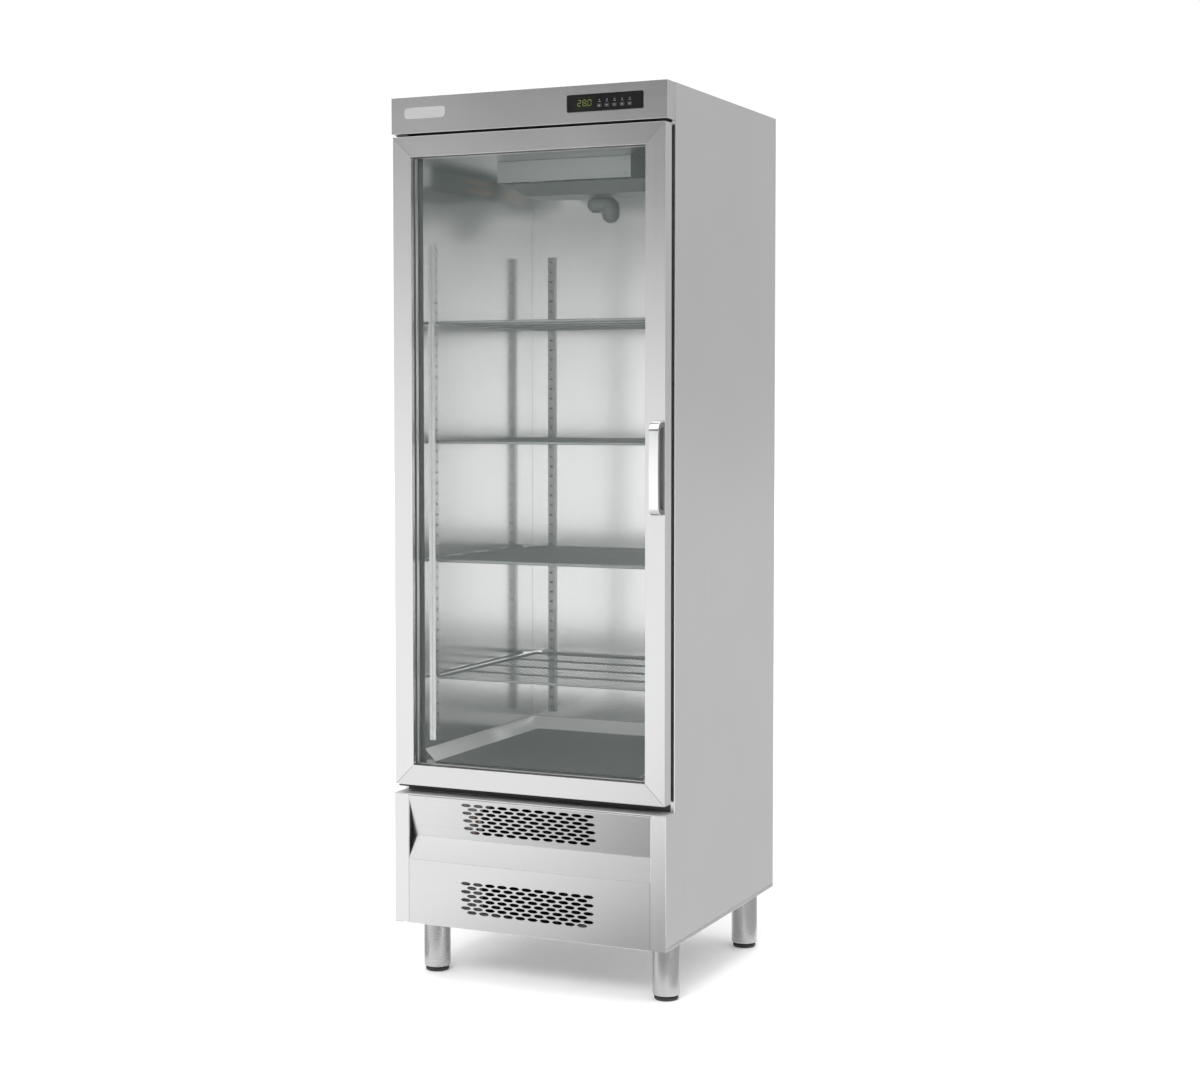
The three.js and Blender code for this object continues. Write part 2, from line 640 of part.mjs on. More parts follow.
const DOOR_TALL = DOOR_TOP - DOOR_BOTTOM;
const MINUS_X = X.clone().negate();
const MINUS_Z = Z.clone().negate();
const pinHole = upright(HINGE.radius + 0.5, [DOOR_BOTTOM - 5, DOOR_BOTTOM + 8], HINGE.x, HINGE.depth, 16);
const pinHoleTop = upright(HINGE.radius + 0.5, [DOOR_TOP - 8, DOOR_TOP + 5], HINGE.x, HINGE.depth, 16);

node('door_stile_left',
  barPlaced(DOOR_TALL, X, Z, new THREE.Vector3(-DOOR_HALF, FRONT, DOOR_BOTTOM)), STEEL);
node('door_stile_right',
  barPlaced(DOOR_TALL, MINUS_X, MINUS_Z, new THREE.Vector3(DOOR_HALF, FRONT, DOOR_TOP)), STEEL);
const bottomRail = barPlaced(2 * DOOR_HALF, Z, MINUS_X, new THREE.Vector3(DOOR_HALF, FRONT, DOOR_BOTTOM));
const topRail = barPlaced(2 * DOOR_HALF, MINUS_Z, X, new THREE.Vector3(-DOOR_HALF, FRONT, DOOR_TOP));
node('door_rail_bottom', cut(bottomRail, pinHole), STEEL);
node('door_rail_top', cut(topRail, pinHoleTop), STEEL);

for (const [word, span] of Object.entries(PANES)) {
  node(`glass_${word}`, block([-GLASS_HALF, GLASS_HALF], span, [DOOR_BOTTOM + 38, DOOR_TOP - 38]), GLASS);
}

function doorGasket() {
  const outer = DOOR_HALF - 12;
  const inner = outer - 14;
  return alongY(
    rectangle([-outer, outer], [DOOR_BOTTOM + 12, DOOR_TOP - 12]),
    [DOOR_THICK + GAP, BODY_FRONT],
    [rectangle([-inner, inner], [DOOR_BOTTOM + 26, DOOR_TOP - 26])],
  );
}

node('door_gasket', doorGasket(), SEAL);

// An L of steel on the surround, with the pin that the door turns on.
function hingeBracket(level, upward) {
  const sign = upward ? 1 : -1;
  const span = (a, b) => [level + sign * a, level + sign * b].sort((low, high) => low - high);
  return join(
    block([-338, -308], [6, BODY_FRONT - GAP], span(0, 3.2)),
    block([-338, -308], [BODY_FRONT - 3.2, BODY_FRONT - GAP], span(0, 14)),
    upright(HINGE.radius, span(1, 26), HINGE.x, HINGE.depth, 16),
  );
}

node('hinge_bracket_bottom', hingeBracket(DOOR_BOTTOM - 5, true), DARK_PLASTIC);
node('hinge_bracket_top', hingeBracket(DOOR_TOP + 5, false), DARK_PLASTIC);

// ---- handle -------------------------------------------------------------------------------------
const GRIP = { x: [321, 341.6], z: [1113, 1322] };

// Points of the bow's front face from bottom to top, with rounded shoulders.
function bowLine(reach, shoulder, inset) {
  const [low, high] = [GRIP.z[0] + inset, GRIP.z[1] - inset];
  const middle = (low + high) / 2;
  const points = [];
  for (let i = 0; i <= 6; i += 1) {
    const angle = (i / 6) * (Math.PI / 2);
    points.push([-reach + shoulder * (1 - Math.sin(angle)), low + shoulder * (1 - Math.cos(angle))]);
  }
  points.push([-reach - 1.5, middle]);
  return [...points, ...points.slice(0, -1).reverse().map(([d, z]) => [d, low + high - z])];
}

function handleBase() {
  const outer = [[-GAP, GRIP.z[0] + 3], ...bowLine(35, 20, 3), [-GAP, GRIP.z[1] - 3]];
  const finger = [[-4.5, GRIP.z[0] + 14], ...bowLine(25, 12, 14), [-4.5, GRIP.z[1] - 14]];
  return alongX(outer, GRIP.x, [finger]);
}

function handleBar() {
  const outer = bowLine(HANDLE_REACH - 1.5, 22, 0);
  const inner = bowLine(35 + GAP, 20, 2.6);
  return alongX([...outer, ...inner.reverse()], [GRIP.x[0] - 1, GRIP.x[1] + 1]);
}

node('handle_base', handleBase(), GREY_PLASTIC);
node('handle_bar', handleBar(), BRIGHT_STEEL);
node('cable_gland', cableGland(), FOOT_BLACK);

// ---- legs and feet ------------------------------------------------------------------------------
const LEG = { x: 298.5, front: 118, rear: 624, radius: 31.5, wall: 1.6 };

function leg(x, depth) {
  const top = LEG_HEIGHT - GAP;
  const inner = LEG.radius - LEG.wall;
  return turned([[0, top - 3], [inner, top - 3], [inner, 12], [LEG.radius, 12], [LEG.radius, top], [0, top]],
    x, depth, 24);
}

function foot(x, depth) {
  const plug = LEG.radius - LEG.wall - 0.4;
  return turned([[0, 0], [26, 0], [28, 2], [28, 9], [plug, 9], [plug, 58], [0, 58]], x, depth, 24);
}

for (const [row, depth] of [['front', LEG.front], ['rear', LEG.rear]]) {
  MIRRORED.forEach(([word, sign]) => {
    node(`leg_${row}_${word}`, leg(sign * LEG.x, depth), BRIGHT_STEEL);
    node(`foot_${row}_${word}`, foot(sign * LEG.x, depth), FOOT_BLACK);
  });
}

export default cabinet;
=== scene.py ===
"""Looks of the upright proofing cabinet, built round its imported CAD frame, in metres."""

import math

import bmesh
import bpy
from mathutils import Matrix, Vector


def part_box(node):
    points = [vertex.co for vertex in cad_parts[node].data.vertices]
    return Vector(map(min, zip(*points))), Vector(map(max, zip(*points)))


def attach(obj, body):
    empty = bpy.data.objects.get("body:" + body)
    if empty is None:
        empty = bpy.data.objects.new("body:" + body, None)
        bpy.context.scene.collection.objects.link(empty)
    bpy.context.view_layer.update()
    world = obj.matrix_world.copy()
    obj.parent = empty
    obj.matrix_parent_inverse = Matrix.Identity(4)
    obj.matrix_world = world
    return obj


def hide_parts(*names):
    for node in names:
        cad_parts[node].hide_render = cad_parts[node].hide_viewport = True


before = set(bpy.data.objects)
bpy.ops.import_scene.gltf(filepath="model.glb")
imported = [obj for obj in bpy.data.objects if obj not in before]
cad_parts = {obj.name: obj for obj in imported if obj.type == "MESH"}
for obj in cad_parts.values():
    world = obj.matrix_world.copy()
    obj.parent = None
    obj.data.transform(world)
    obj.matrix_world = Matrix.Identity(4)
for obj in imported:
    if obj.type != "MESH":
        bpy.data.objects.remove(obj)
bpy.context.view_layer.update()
scene = bpy.context.scene
scene.view_settings.view_transform = "Standard"

MM = 0.001
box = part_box
SIDES = (("left", -1), ("right", 1))
CORNERS = [(row, word, sign) for row in ("front", "rear") for word, sign in SIDES]

# ---- camera ----
CAMERA_PLACE = (2.0977, -4.5099, 1.3629)
CAMERA_YAW = math.radians(24.586)
CAMERA_PITCH = math.radians(-2.822)
CAMERA_LENS = 61.81
CAMERA_SHIFT = -0.03

camera_data = bpy.data.cameras.new("camera")
camera_data.lens = CAMERA_LENS
camera_data.shift_y = CAMERA_SHIFT
camera = bpy.data.objects.new("camera", camera_data)
scene.collection.objects.link(camera)
camera.location = CAMERA_PLACE
camera.rotation_euler = (math.pi / 2 + CAMERA_PITCH, 0, CAMERA_YAW)
scene.camera = camera


# ---- materials ----
class Nodes:
    """A node tree that nodes are added to with their inputs set and linked."""

    def __init__(self, owner):
        owner.use_nodes = True
        self.tree = owner.node_tree

    def link(self, source, target):
        self.tree.links.new(source, target)

    def add(self, kind, values=None, links=None, **settings):
        """A node: values and links go to inputs by their name or number."""
        made = self.tree.nodes.new(f"ShaderNode{kind}")
        for name, value in settings.items():
            setattr(made, name, value)
        for socket, value in (values or {}).items():
            made.inputs[socket].default_value = value
        for socket, source in (links or {}).items():
            self.link(source, made.inputs[socket])
        return made

    def ranged(self, value, from_low, from_high, low, high, **settings):
        """A value's range stretched to another one."""
        limits = {"From Min": from_low, "From Max": from_high, "To Min": low, "To Max": high}
        return self.add("MapRange", limits, {"Value": value}, **settings).outputs["Result"]


FINISHES = {}
USUAL_LOW = 0.3
USUAL_HIGH = 0.7


class Finish(Nodes):
    """A material whose colour, roughness and relief come from patterns in object coordinates."""

    def __init__(self, name, **sockets):
        material = bpy.data.materials.new(name)
        super().__init__(material)
        self.shader = self.tree.nodes["Principled BSDF"]
        self.place = self.add("TexCoord").outputs["Object"]
        for socket, value in sockets.items():
            self.shader.inputs[socket.replace("_", " ")].default_value = value
        FINISHES[name] = material

    def noise(self, scale, detail):
        """Noise with the given number of grains per metre along x, y and z."""
        mapping = self.add("Mapping", {"Scale": scale}, {"Vector": self.place})
        settings = {"Scale": 1.0, "Detail": detail}
        return self.add("TexNoise", settings, {"Vector": mapping.outputs["Vector"]}).outputs["Fac"]

    def mixed(self, first, second, share):
        """The two patterns added, with the given share of the second."""
        scaled = self.add("Math", {1: 1 - share}, {0: first}, operation="MULTIPLY")
        both = {0: second, 2: scaled.outputs[0]}
        return self.add("Math", {1: share}, both, operation="MULTIPLY_ADD").outputs[0]

    def colour(self, pattern, low, high):
        ramp = self.add("ValToRGB", links={"Fac": self.ranged(pattern, USUAL_LOW, USUAL_HIGH, 0, 1)})
        ramp.color_ramp.elements[0].color = (*low, 1)
        ramp.color_ramp.elements[1].color = (*high, 1)
        self.link(ramp.outputs["Color"], self.shader.inputs["Base Color"])

    def rough(self, pattern, low, high):
        self.link(self.ranged(pattern, USUAL_LOW, USUAL_HIGH, low, high), self.shader.inputs["Roughness"])

    def relief(self, pattern, height, strength):
        bump = self.add("Bump", {"Distance": height, "Strength": strength}, {"Height": pattern})
        self.link(bump.outputs["Normal"], self.shader.inputs["Normal"])


FINE_GRAIN = 1500
SLOW_GRAIN = 5
STREAKS = 420
SLOW_STREAK = 1.5
CLOUDS = 2.6
GRAIN_DEPTH = 0.000003


def lengthwise(axis, slow, fine):
    """Grains per metre along x, y and z for a pattern that is long in the one axis."""
    return tuple(slow if name == axis else fine for name in "xyz")


def shade(level, tint):
    """A colour as it is given, or a grey of that level, a little greener for a positive tint."""
    if isinstance(level, tuple):
        return level
    return (level * (1 - tint), level, level * (1 - tint * 0.6))


def brushed(name, axis, dark, light, smooth, rough, metallic=1.0, tint=0.0):
    """Metal with a lengthwise satin grain, long faint streaks and a few broad clouds."""
    metal = Finish(name, Metallic=metallic)
    grain = metal.noise(lengthwise(axis, SLOW_GRAIN, FINE_GRAIN), detail=2.0)
    streaks = metal.noise(lengthwise(axis, SLOW_STREAK, STREAKS), detail=3.0)
    clouds = metal.noise((CLOUDS, CLOUDS, CLOUDS), detail=4.0)
    lines = metal.mixed(grain, streaks, 0.55)
    metal.colour(metal.mixed(lines, clouds, 0.35), shade(dark, tint), shade(light, tint))
    metal.rough(metal.mixed(lines, clouds, 0.5), smooth, rough)
    metal.relief(lines, GRAIN_DEPTH, 0.35)


def moulded(name, dark, light, smooth, rough, pebble=900, height=0.00006, tint=0.0, **sockets):
    """Plastic, paint or rubber with a fine moulded texture and slight unevenness."""
    plastic = Finish(name, **sockets)
    clouds = plastic.noise((9, 9, 9), detail=4.0)
    fine = plastic.noise((pebble, pebble, pebble), detail=2.0)
    pattern = plastic.mixed(clouds, fine, 0.4)
    plastic.colour(pattern, shade(dark, tint), shade(light, tint))
    plastic.rough(pattern, smooth, rough)
    plastic.relief(fine, height, 0.5)


# Metals: darkest and lightest colour, then lowest and highest roughness.
brushed("outer_steel_z", "z", 0.70, 0.76, 0.22, 0.28)
brushed("outer_steel_x", "x", 0.65, 0.71, 0.22, 0.28)
FINISHES["outer_steel"] = FINISHES["outer_steel_z"]
brushed("leg_steel", "x", 0.46, 0.52, 0.24, 0.32)
brushed("fin_metal", "z", 0.34, 0.46, 0.32, 0.45, tint=0.03)
brushed("heater_steel", "x", (0.25, 0.22, 0.2), (0.36, 0.33, 0.3), 0.35, 0.5)
brushed("handle_metal", "z", 0.86, 0.93, 0.16, 0.26)
# A darker copy of the pilaster steel for the rear posts: painted shade.
brushed("post_metal_painted_shade", "z", 0.30, 0.40, 0.24, 0.34, tint=0.02)
brushed("cove_metal", "x", 0.84, 0.90, 0.26, 0.36, metallic=0.5)
# The back wall's liner steel, lighter and less metallic than the side walls' copy: painted light on the back
# wall.
brushed("back_metal_painted_light", "z", 0.92, 0.97, 0.15, 0.20, metallic=0.8)
brushed("wall_metal", "z", 0.84, 0.90, 0.12, 0.17)
brushed("ledge_metal", "x", 0.54, 0.60, 0.5, 0.6, metallic=0.5)
# The air unit's own grey-green steel; the chamber ceiling also takes it as painted shade for the dim top of
# the chamber.
brushed("unit_metal_and_ceiling_shade", "x", 0.38, 0.45, 0.3, 0.4, tint=0.04)
brushed("spacer_metal", "z", 0.72, 0.84, 0.25, 0.38)
brushed("copper", "y", (0.62, 0.33, 0.2), (0.76, 0.42, 0.27), 0.25, 0.42)

# Plastics, paints and rubbers: the same four, then pebbles per metre and their height.
moulded("foam", 0.42, 0.5, 0.85, 0.95, 300, 0.0006)
moulded("surround_plastic", 0.045, 0.065, 0.42, 0.55)
moulded("controller_plastic", 0.006, 0.010, 0.14, 0.24, 500, 0.000006, Specular_IOR_Level=0.2)
moulded("key_rubber", 0.010, 0.018, 0.42, 0.58)
moulded("badge_metal", 0.31, 0.36, 0.3, 0.4, 500, 0.00001, Metallic=0.2)
moulded("shelf_wire", 0.26, 0.36, 0.28, 0.42, 700, 0.00003, tint=0.04, Metallic=0.9)
moulded("tray_plastic", 0.07, 0.10, 0.38, 0.52, tint=0.05)
moulded("machine_paint", 0.018, 0.03, 0.3, 0.45, 350, 0.00008)
moulded("black_plastic", 0.02, 0.034, 0.42, 0.58)
moulded("foot_plastic", 0.02, 0.03, 0.45, 0.6)
moulded("seal_rubber", 0.05, 0.075, 0.5, 0.68)
moulded("handle_plastic", 0.10, 0.13, 0.34, 0.46)
# A near-black copy of the liner steel for the flat of the chamber floor: painted shade.
moulded("pan_metal_painted_shade", 0.06, 0.08, 0.34, 0.42, 500, 0.00001, Specular_IOR_Level=0.2)
# The condenser's black coat on fins and tubes alike, which also stands as painted shade behind the grille
# slots.
moulded("fin_paint_and_shade", 0.025, 0.04, 0.5, 0.65, 400, 0.00003)
moulded("display_lens", (0.006, 0.009, 0.006), (0.009, 0.013, 0.008), 0.06, 0.14, 400, 0.000004)
moulded("key_marks", 0.20, 0.26, 0.4, 0.55)
moulded("lit_segments", (0.10, 0.10, 0.03), (0.13, 0.13, 0.04), 0.4, 0.5,
        Emission_Color=(0.55, 0.5, 0.16, 1), Emission_Strength=0.04)

pane = Finish("glass", Alpha=0.035, IOR=1.5)
smears = pane.noise((5, 5, 2), detail=4.0)
pane.colour(smears, (0.30, 0.36, 0.34), (0.34, 0.40, 0.38))
pane.rough(smears, 0.015, 0.05)


# ---- shapes: each returns its points and faces ----
def mm(pairs):
    return [tuple(value * MM for value in pair) for pair in pairs]


def spokes(count):
    """The cosine and sine of evenly spread angles round a circle."""
    turns = [2 * math.pi * i / count for i in range(count)]
    return [(math.cos(turn), math.sin(turn)) for turn in turns]


def filleted(points, radius, steps=4, closed=True):
    """The corners of a flat outline, or the bends of an open line, rounded to the radius."""
    result = []
    count = len(points)
    for i, point in enumerate(points):
        corner = Vector(point)
        if not closed and i in (0, count - 1):
            result.append(corner)
            continue
        before = Vector(points[i - 1]) - corner
        after = Vector(points[(i + 1) % count]) - corner
        half = before.angle(after) / 2
        if half > math.radians(89):
            result.append(corner)
            continue
        reach = min(radius / math.tan(half), before.length * 0.49, after.length * 0.49)
        centre = corner + (before.normalized() + after.normalized()).normalized() * (reach / math.cos(half))
        start = corner + before.normalized() * reach - centre
        end = corner + after.normalized() * reach - centre
        for step in range(steps + 1):
            share = step / steps
            angle = start.angle(end)
            mixed = (start * math.sin((1 - share) * angle) + end * math.sin(share * angle)) / math.sin(angle)
            result.append(centre + mixed)
    return result


def bent(points, thickness, radius):
    """Closed outline of a folded sheet whose middle line runs through the points."""
    line = filleted(points, radius, closed=False)
    left, right = [], []
    for i, point in enumerate(line):
        along = line[min(i + 1, len(line) - 1)] - line[max(i - 1, 0)]
        side = Vector((-along.y, along.x)).normalized() * (thickness / 2)
        left.append(point + side)
        right.append(point - side)
    return left + right[::-1]


PLACES = {
    "x": lambda u, v, w: Vector((w, u, v)),
    "y": lambda u, v, w: Vector((u, w, v)),
    "z": lambda u, v, w: Vector((u, v, w)),
}


def prism(outline, axis, low, high):
    """An outline in the two other axes, drawn out along one axis."""
    place = PLACES[axis]
    count = len(outline)
    points = [place(p[0], p[1], low) for p in outline] + [place(p[0], p[1], high) for p in outline]
    faces = [tuple(range(count))[::-1], tuple(range(count, 2 * count))]
    faces += [(i, (i + 1) % count, (i + 1) % count + count, i + count) for i in range(count)]
    return points, faces


def loft(rings, capped=True, closed=False):
    """A skin over rings that have the same number of points."""
    count = len(rings[0])
    points = [Vector(p) for ring in rings for p in ring]
    faces = []
    for r in range(len(rings) if closed else len(rings) - 1):
        low = r * count
        high = (r + 1) % len(rings) * count
        faces += [(low + i, low + (i + 1) % count, high + (i + 1) % count, high + i) for i in range(count)]
    if capped and not closed:
        faces += [tuple(range(count))[::-1], tuple(range(len(points) - count, len(points)))]
    return points, faces


THINNEST = 0.05 * MM


def lathe(profile, centre, axis=(0, 0, 1), segments=48):
    """A round solid: the profile's radius and height pairs turned about an axis through the centre."""
    turn = Vector((0, 0, 1)).rotation_difference(Vector(axis))
    rings = []
    for radius, height in profile:
        radius = max(radius, THINNEST)
        rings.append([Vector(centre) + turn @ Vector((radius * c, radius * s, height))
                      for c, s in spokes(segments)])
    return loft(rings)


def tube(line, radius, sides=10, closed=False, radii=None):
    """A round rod along a line of points."""
    line = [Vector(p) for p in line]
    count = len(line)
    rings = []
    across = None
    for i, point in enumerate(line):
        if closed:
            along = line[(i + 1) % count] - line[i - 1]
        else:
            along = line[min(i + 1, count - 1)] - line[max(i - 1, 0)]
        along.normalize()
        if across is None:
            across = along.orthogonal().normalized()
        across = (across - along * across.dot(along)).normalized()
        up = along.cross(across)
        size = radii[i] if radii else radius
        rings.append([point + across * (size * c) + up * (size * s) for c, s in spokes(sides)])
    return loft(rings, closed=closed)


def rounded_box(low, high, radius, segments=3):
    """A box with all its edges rounded."""
    shape = bmesh.new()
    bmesh.ops.create_cube(shape, size=1)
    low, high = Vector(low), Vector(high)
    for vertex in shape.verts:
        vertex.co = Vector((low[k] + (high[k] - low[k]) * (vertex.co[k] + 0.5) for k in range(3)))
    bmesh.ops.bevel(shape, geom=shape.edges[:], offset=radius, segments=segments, profile=0.5,
                    affect="EDGES", clamp_overlap=True)
    return taken(shape)


def taken(shape):
    """The points and faces of a bmesh, which is then freed."""
    shape.verts.index_update()
    points = [v.co.copy() for v in shape.verts]
    faces = [tuple(v.index for v in f.verts) for f in shape.faces]
    shape.free()
    return points, faces


WIDE_FACE = 3 * MM


def softened(node, width, limit=30):
    """A copy of a CAD node with its wide faces joined and the edges between them rounded."""
    shape = bmesh.new()
    shape.from_mesh(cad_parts[node].data)
    bmesh.ops.remove_doubles(shape, verts=shape.verts, dist=0.00001)
    bmesh.ops.dissolve_limit(shape, angle_limit=math.radians(0.5), verts=shape.verts, edges=shape.edges)

    def wide(face):
        return face.calc_area() / max(e.calc_length() for e in face.edges) > WIDE_FACE

    edges = [
        e for e in shape.edges
        if len(e.link_faces) == 2
        and e.calc_face_angle(0) > math.radians(limit)
        and all(wide(f) for f in e.link_faces)
    ]
    bmesh.ops.bevel(shape, geom=edges, offset=width, segments=3, profile=0.5, affect="EDGES",
                    clamp_overlap=True)
    return taken(shape)


def framed(profile, low, high):
    """A profile of inset and y pairs, run round a rectangle with mitred corners."""
    rings = []
    for sign_x, sign_z in ((-1, -1), (1, -1), (1, 1), (-1, 1)):
        edge_x = low.x if sign_x < 0 else high.x
        edge_z = low.z if sign_z < 0 else high.z
        rings.append([Vector((edge_x - sign_x * inset, y, edge_z - sign_z * inset)) for inset, y in profile])
    return loft(rings, closed=True)


def thickened(points, faces, thickness):
    """An open surface given thickness on the side away from its normals."""
    mesh = bpy.data.meshes.new("sheet")
    mesh.from_pydata([tuple(p) for p in points], [], faces)
    sheet = bpy.data.objects.new("sheet", mesh)
    scene.collection.objects.link(sheet)
    solidify = sheet.modifiers.new("thickness", "SOLIDIFY")
    solidify.thickness = thickness
    solidify.offset = -1
    solidify.use_even_offset = True
    evaluated = sheet.evaluated_get(bpy.context.evaluated_depsgraph_get())
    result = bpy.data.meshes.new_from_object(evaluated)
    solid = ([v.co.copy() for v in result.vertices], [tuple(f.vertices) for f in result.polygons])
    bpy.data.objects.remove(sheet)
    bpy.data.meshes.remove(mesh)
    bpy.data.meshes.remove(result)
    return solid


def piece(name, parts, slot, finish=None, replaces=(), body="cabinet", smooth=38):
    """Makes one object from points and faces, with its body and its finish, by default the finish named by
    the slot.
    """
    points, faces = [], []
    for part_points, part_faces in parts:
        start = len(points)
        points += [tuple(p) for p in part_points]
        faces += [tuple(start + i for i in face) for face in part_faces]
    mesh = bpy.data.meshes.new(name)
    mesh.from_pydata(points, [], faces)
    shape = bmesh.new()
    shape.from_mesh(mesh)
    bmesh.ops.recalc_face_normals(shape, faces=shape.faces)
    shape.to_mesh(mesh)
    shape.free()
    mesh.materials.append(FINISHES[finish or slot])
    mesh.shade_smooth()
    mesh.set_sharp_from_angle(angle=math.radians(smooth))
    made = bpy.data.objects.new(name, mesh)
    scene.collection.objects.link(made)
    flatter = made.modifiers.new("flatter", "WEIGHTED_NORMAL")
    flatter.keep_sharp = True
    flatter.weight = 60
    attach(made, body)
    if replaces:
        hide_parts(*replaces)


def soft_copy(name, node, width, slot, finish=None, body="cabinet", limit=30):
    """A piece that has the CAD node's shape, with its edges rounded to a width in millimetres."""
    piece(name, [softened(node, width * MM, limit)], slot, finish, [node], body)


def rounded_rectangle(low_u, high_u, low_v, high_v, radius, steps=5):
    corners = [(low_u, low_v), (high_u, low_v), (high_u, high_v), (low_u, high_v)]
    return filleted(corners, radius, steps)


def plate(low, high, rings, steps=5):
    """A low relief on the y axis: rings of inset, y and corner radius, inside a box seen from in front."""
    levels = []
    for inset, y, radius in rings:
        flat = rounded_rectangle(low.x + inset, high.x - inset, low.z + inset, high.z - inset, radius, steps)
        levels.append([Vector((p.x, y, p.y)) for p in flat])
    return loft(levels)


def screw(centre, axis, radius=0.0035, height=0.0016):
    """A low domed screw head with a dimple, standing on its seat at the centre."""
    dome = [(radius, 0), (radius, height * 0.35), (radius * 0.8, height * 0.8), (radius * 0.45, height),
            (radius * 0.4, height * 0.6), (0, height * 0.5)]
    return lathe([(0, 0), *dome], centre, axis, 20)


# ---- outer skin ----
SKIN = 1.2 * MM
FRONT = box("door_stile_left")[0].y
REAR = box("side_panel_left")[1].y
BODY_FRONT = box("door_gasket")[1].y
LOWER_TOP = box("door_surround")[0].z - 2 * MM
LEG_TOP = box("side_panel_left")[0].z
TOP = box("top_panel")[1].z
STILE_WIDE = 38 * MM
STILE_RETURN = 4 * MM
FOLD_RADIUS = 1.5 * MM

for word, sign in SIDES:
    low, high = box(f"side_panel_{word}")
    outer = (high.x if sign > 0 else low.x) - sign * SKIN / 2
    edge = outer - sign * (STILE_WIDE - SKIN / 2)
    rear_line = [(outer, REAR - SKIN / 2), (outer - sign * 15 * MM, REAR - SKIN / 2)]
    lower = [(edge, FRONT + STILE_RETURN), (edge, FRONT + SKIN / 2), (outer, FRONT + SKIN / 2), *rear_line]
    upper = [(outer - sign * 9 * MM, BODY_FRONT + SKIN / 2), (outer, BODY_FRONT + SKIN / 2), *rear_line]
    flange = [(outer - sign * 19 * MM, LEG_TOP + SKIN / 2), (outer, LEG_TOP + SKIN / 2),
              (outer, LEG_TOP + 10 * MM)]
    piece(f"skin_{word}", [
        prism(bent(lower, SKIN, FOLD_RADIUS), "z", LEG_TOP + 2 * MM, LOWER_TOP),
        prism(bent(upper, SKIN, FOLD_RADIUS), "z", LOWER_TOP, TOP),
        prism(bent(flange, SKIN, FOLD_RADIUS), "y", FRONT + 1.4 * MM, REAR - 1.4 * MM),
    ], "outer_steel", replaces=[f"side_panel_{word}"])

soft_copy("skin_back", "back_panel", 0.8, "outer_steel")
soft_copy("skin_top", "top_panel", 0.5, "outer_steel", "outer_steel_x")
soft_copy("pan_under", "base_pan", 0.8, "outer_steel", "outer_steel_x")
soft_copy("ledge", "sill_ledge", 1.0, "outer_steel", "ledge_metal")
soft_copy("fascia", "control_fascia", 1.0, "outer_steel", "outer_steel_x")

low, high = box("back_panel")
SCREW_ROWS = 7
SIDE_INSET = 9 * MM
END_INSET = 14 * MM
seats = []
for x in (low.x + SIDE_INSET, 0.0, high.x - SIDE_INSET):
    rows = (0, SCREW_ROWS - 1) if x == 0.0 else range(SCREW_ROWS)
    for row in rows:
        z = low.z + END_INSET + row * (high.z - low.z - 2 * END_INSET) / (SCREW_ROWS - 1)
        seats.append(screw((x, high.y, z), (0, 1, 0)))
piece("back_screws", seats, "outer_steel", "outer_steel_x")

# ---- controller ----
housing_low, housing_high = box("controller_housing")
BEZEL_BACK = FRONT - 0.3 * MM
RIM = 3 * MM
face_y = housing_low.y + 0.7 * MM
piece("controller_body", [plate(housing_low, housing_high, [
    (3.5 * MM, housing_high.y, 1 * MM),
    (3.5 * MM, BEZEL_BACK, 1 * MM),
    (0, BEZEL_BACK, 3.5 * MM),
    (0, housing_low.y + 0.8 * MM, 3.5 * MM),
    (0.25 * MM, housing_low.y + 0.25 * MM, 3.3 * MM),
    (0.8 * MM, housing_low.y, 2.9 * MM),
    (RIM - 0.6 * MM, housing_low.y, 1.6 * MM),
    (RIM, face_y, 1.2 * MM),
])], "controller_plastic", replaces=["controller_housing"])

lens_low = Vector((housing_low.x + 20 * MM, face_y - 0.35 * MM, housing_low.z + 7 * MM))
lens_high = Vector((housing_low.x + 68 * MM, face_y + 1 * MM, housing_high.z - 7 * MM))
piece("display_lens", [rounded_box(lens_low, lens_high, 0.3 * MM)], "controller_plastic", "display_lens")

SEGMENTS = {"2": "abged", "8": "abcdefg", "0": "abcdef"}
DIGIT_WIDE = 7.5 * MM
DIGIT_TALL = 13 * MM
STROKE = 1.3 * MM


def lit_bar(x, z, half_x, half_z, radius):
    """A thin raised bar on the display's lens, centred at x and z."""
    low = (x - half_x, lens_low.y - 0.12 * MM, z - half_z)
    high = (x + half_x, lens_low.y + 0.1 * MM, z + half_z)
    return rounded_box(low, high, radius, 1)


def digit(sign, x, z):
    """One seven-segment figure centred at x and z."""
    wide, tall = DIGIT_WIDE / 2, DIGIT_TALL / 2
    flat_bar = (wide - STROKE * 0.7, STROKE / 2)
    tall_bar = (STROKE / 2, tall / 2 - STROKE * 0.7)
    bars = {
        "a": (0, tall, flat_bar), "g": (0, 0, flat_bar), "d": (0, -tall, flat_bar),
        "f": (-wide, tall / 2, tall_bar), "b": (wide, tall / 2, tall_bar),
        "e": (-wide, -tall / 2, tall_bar), "c": (wide, -tall / 2, tall_bar),
    }
    chosen = [bars[name] for name in SEGMENTS[sign]]
    return [lit_bar(x + along_x, z + along_z, *halves, 0.08 * MM) for along_x, along_z, halves in chosen]


lens_middle = (lens_low.z + lens_high.z) / 2
lit = []
for i, sign in enumerate("280"):
    lit += digit(sign, lens_low.x + (11 + 12.5 * i) * MM, lens_middle)
lit.append(lit_bar(lens_low.x + 29.8 * MM, lens_middle - 6.5 * MM, 0.7 * MM, 0.7 * MM, 0.1 * MM))
piece("display_digits", lit, "controller_plastic", "lit_segments")


def flat_mark(outline, y, proud=0.15 * MM):
    return prism(outline, "y", y - proud, y + proud)


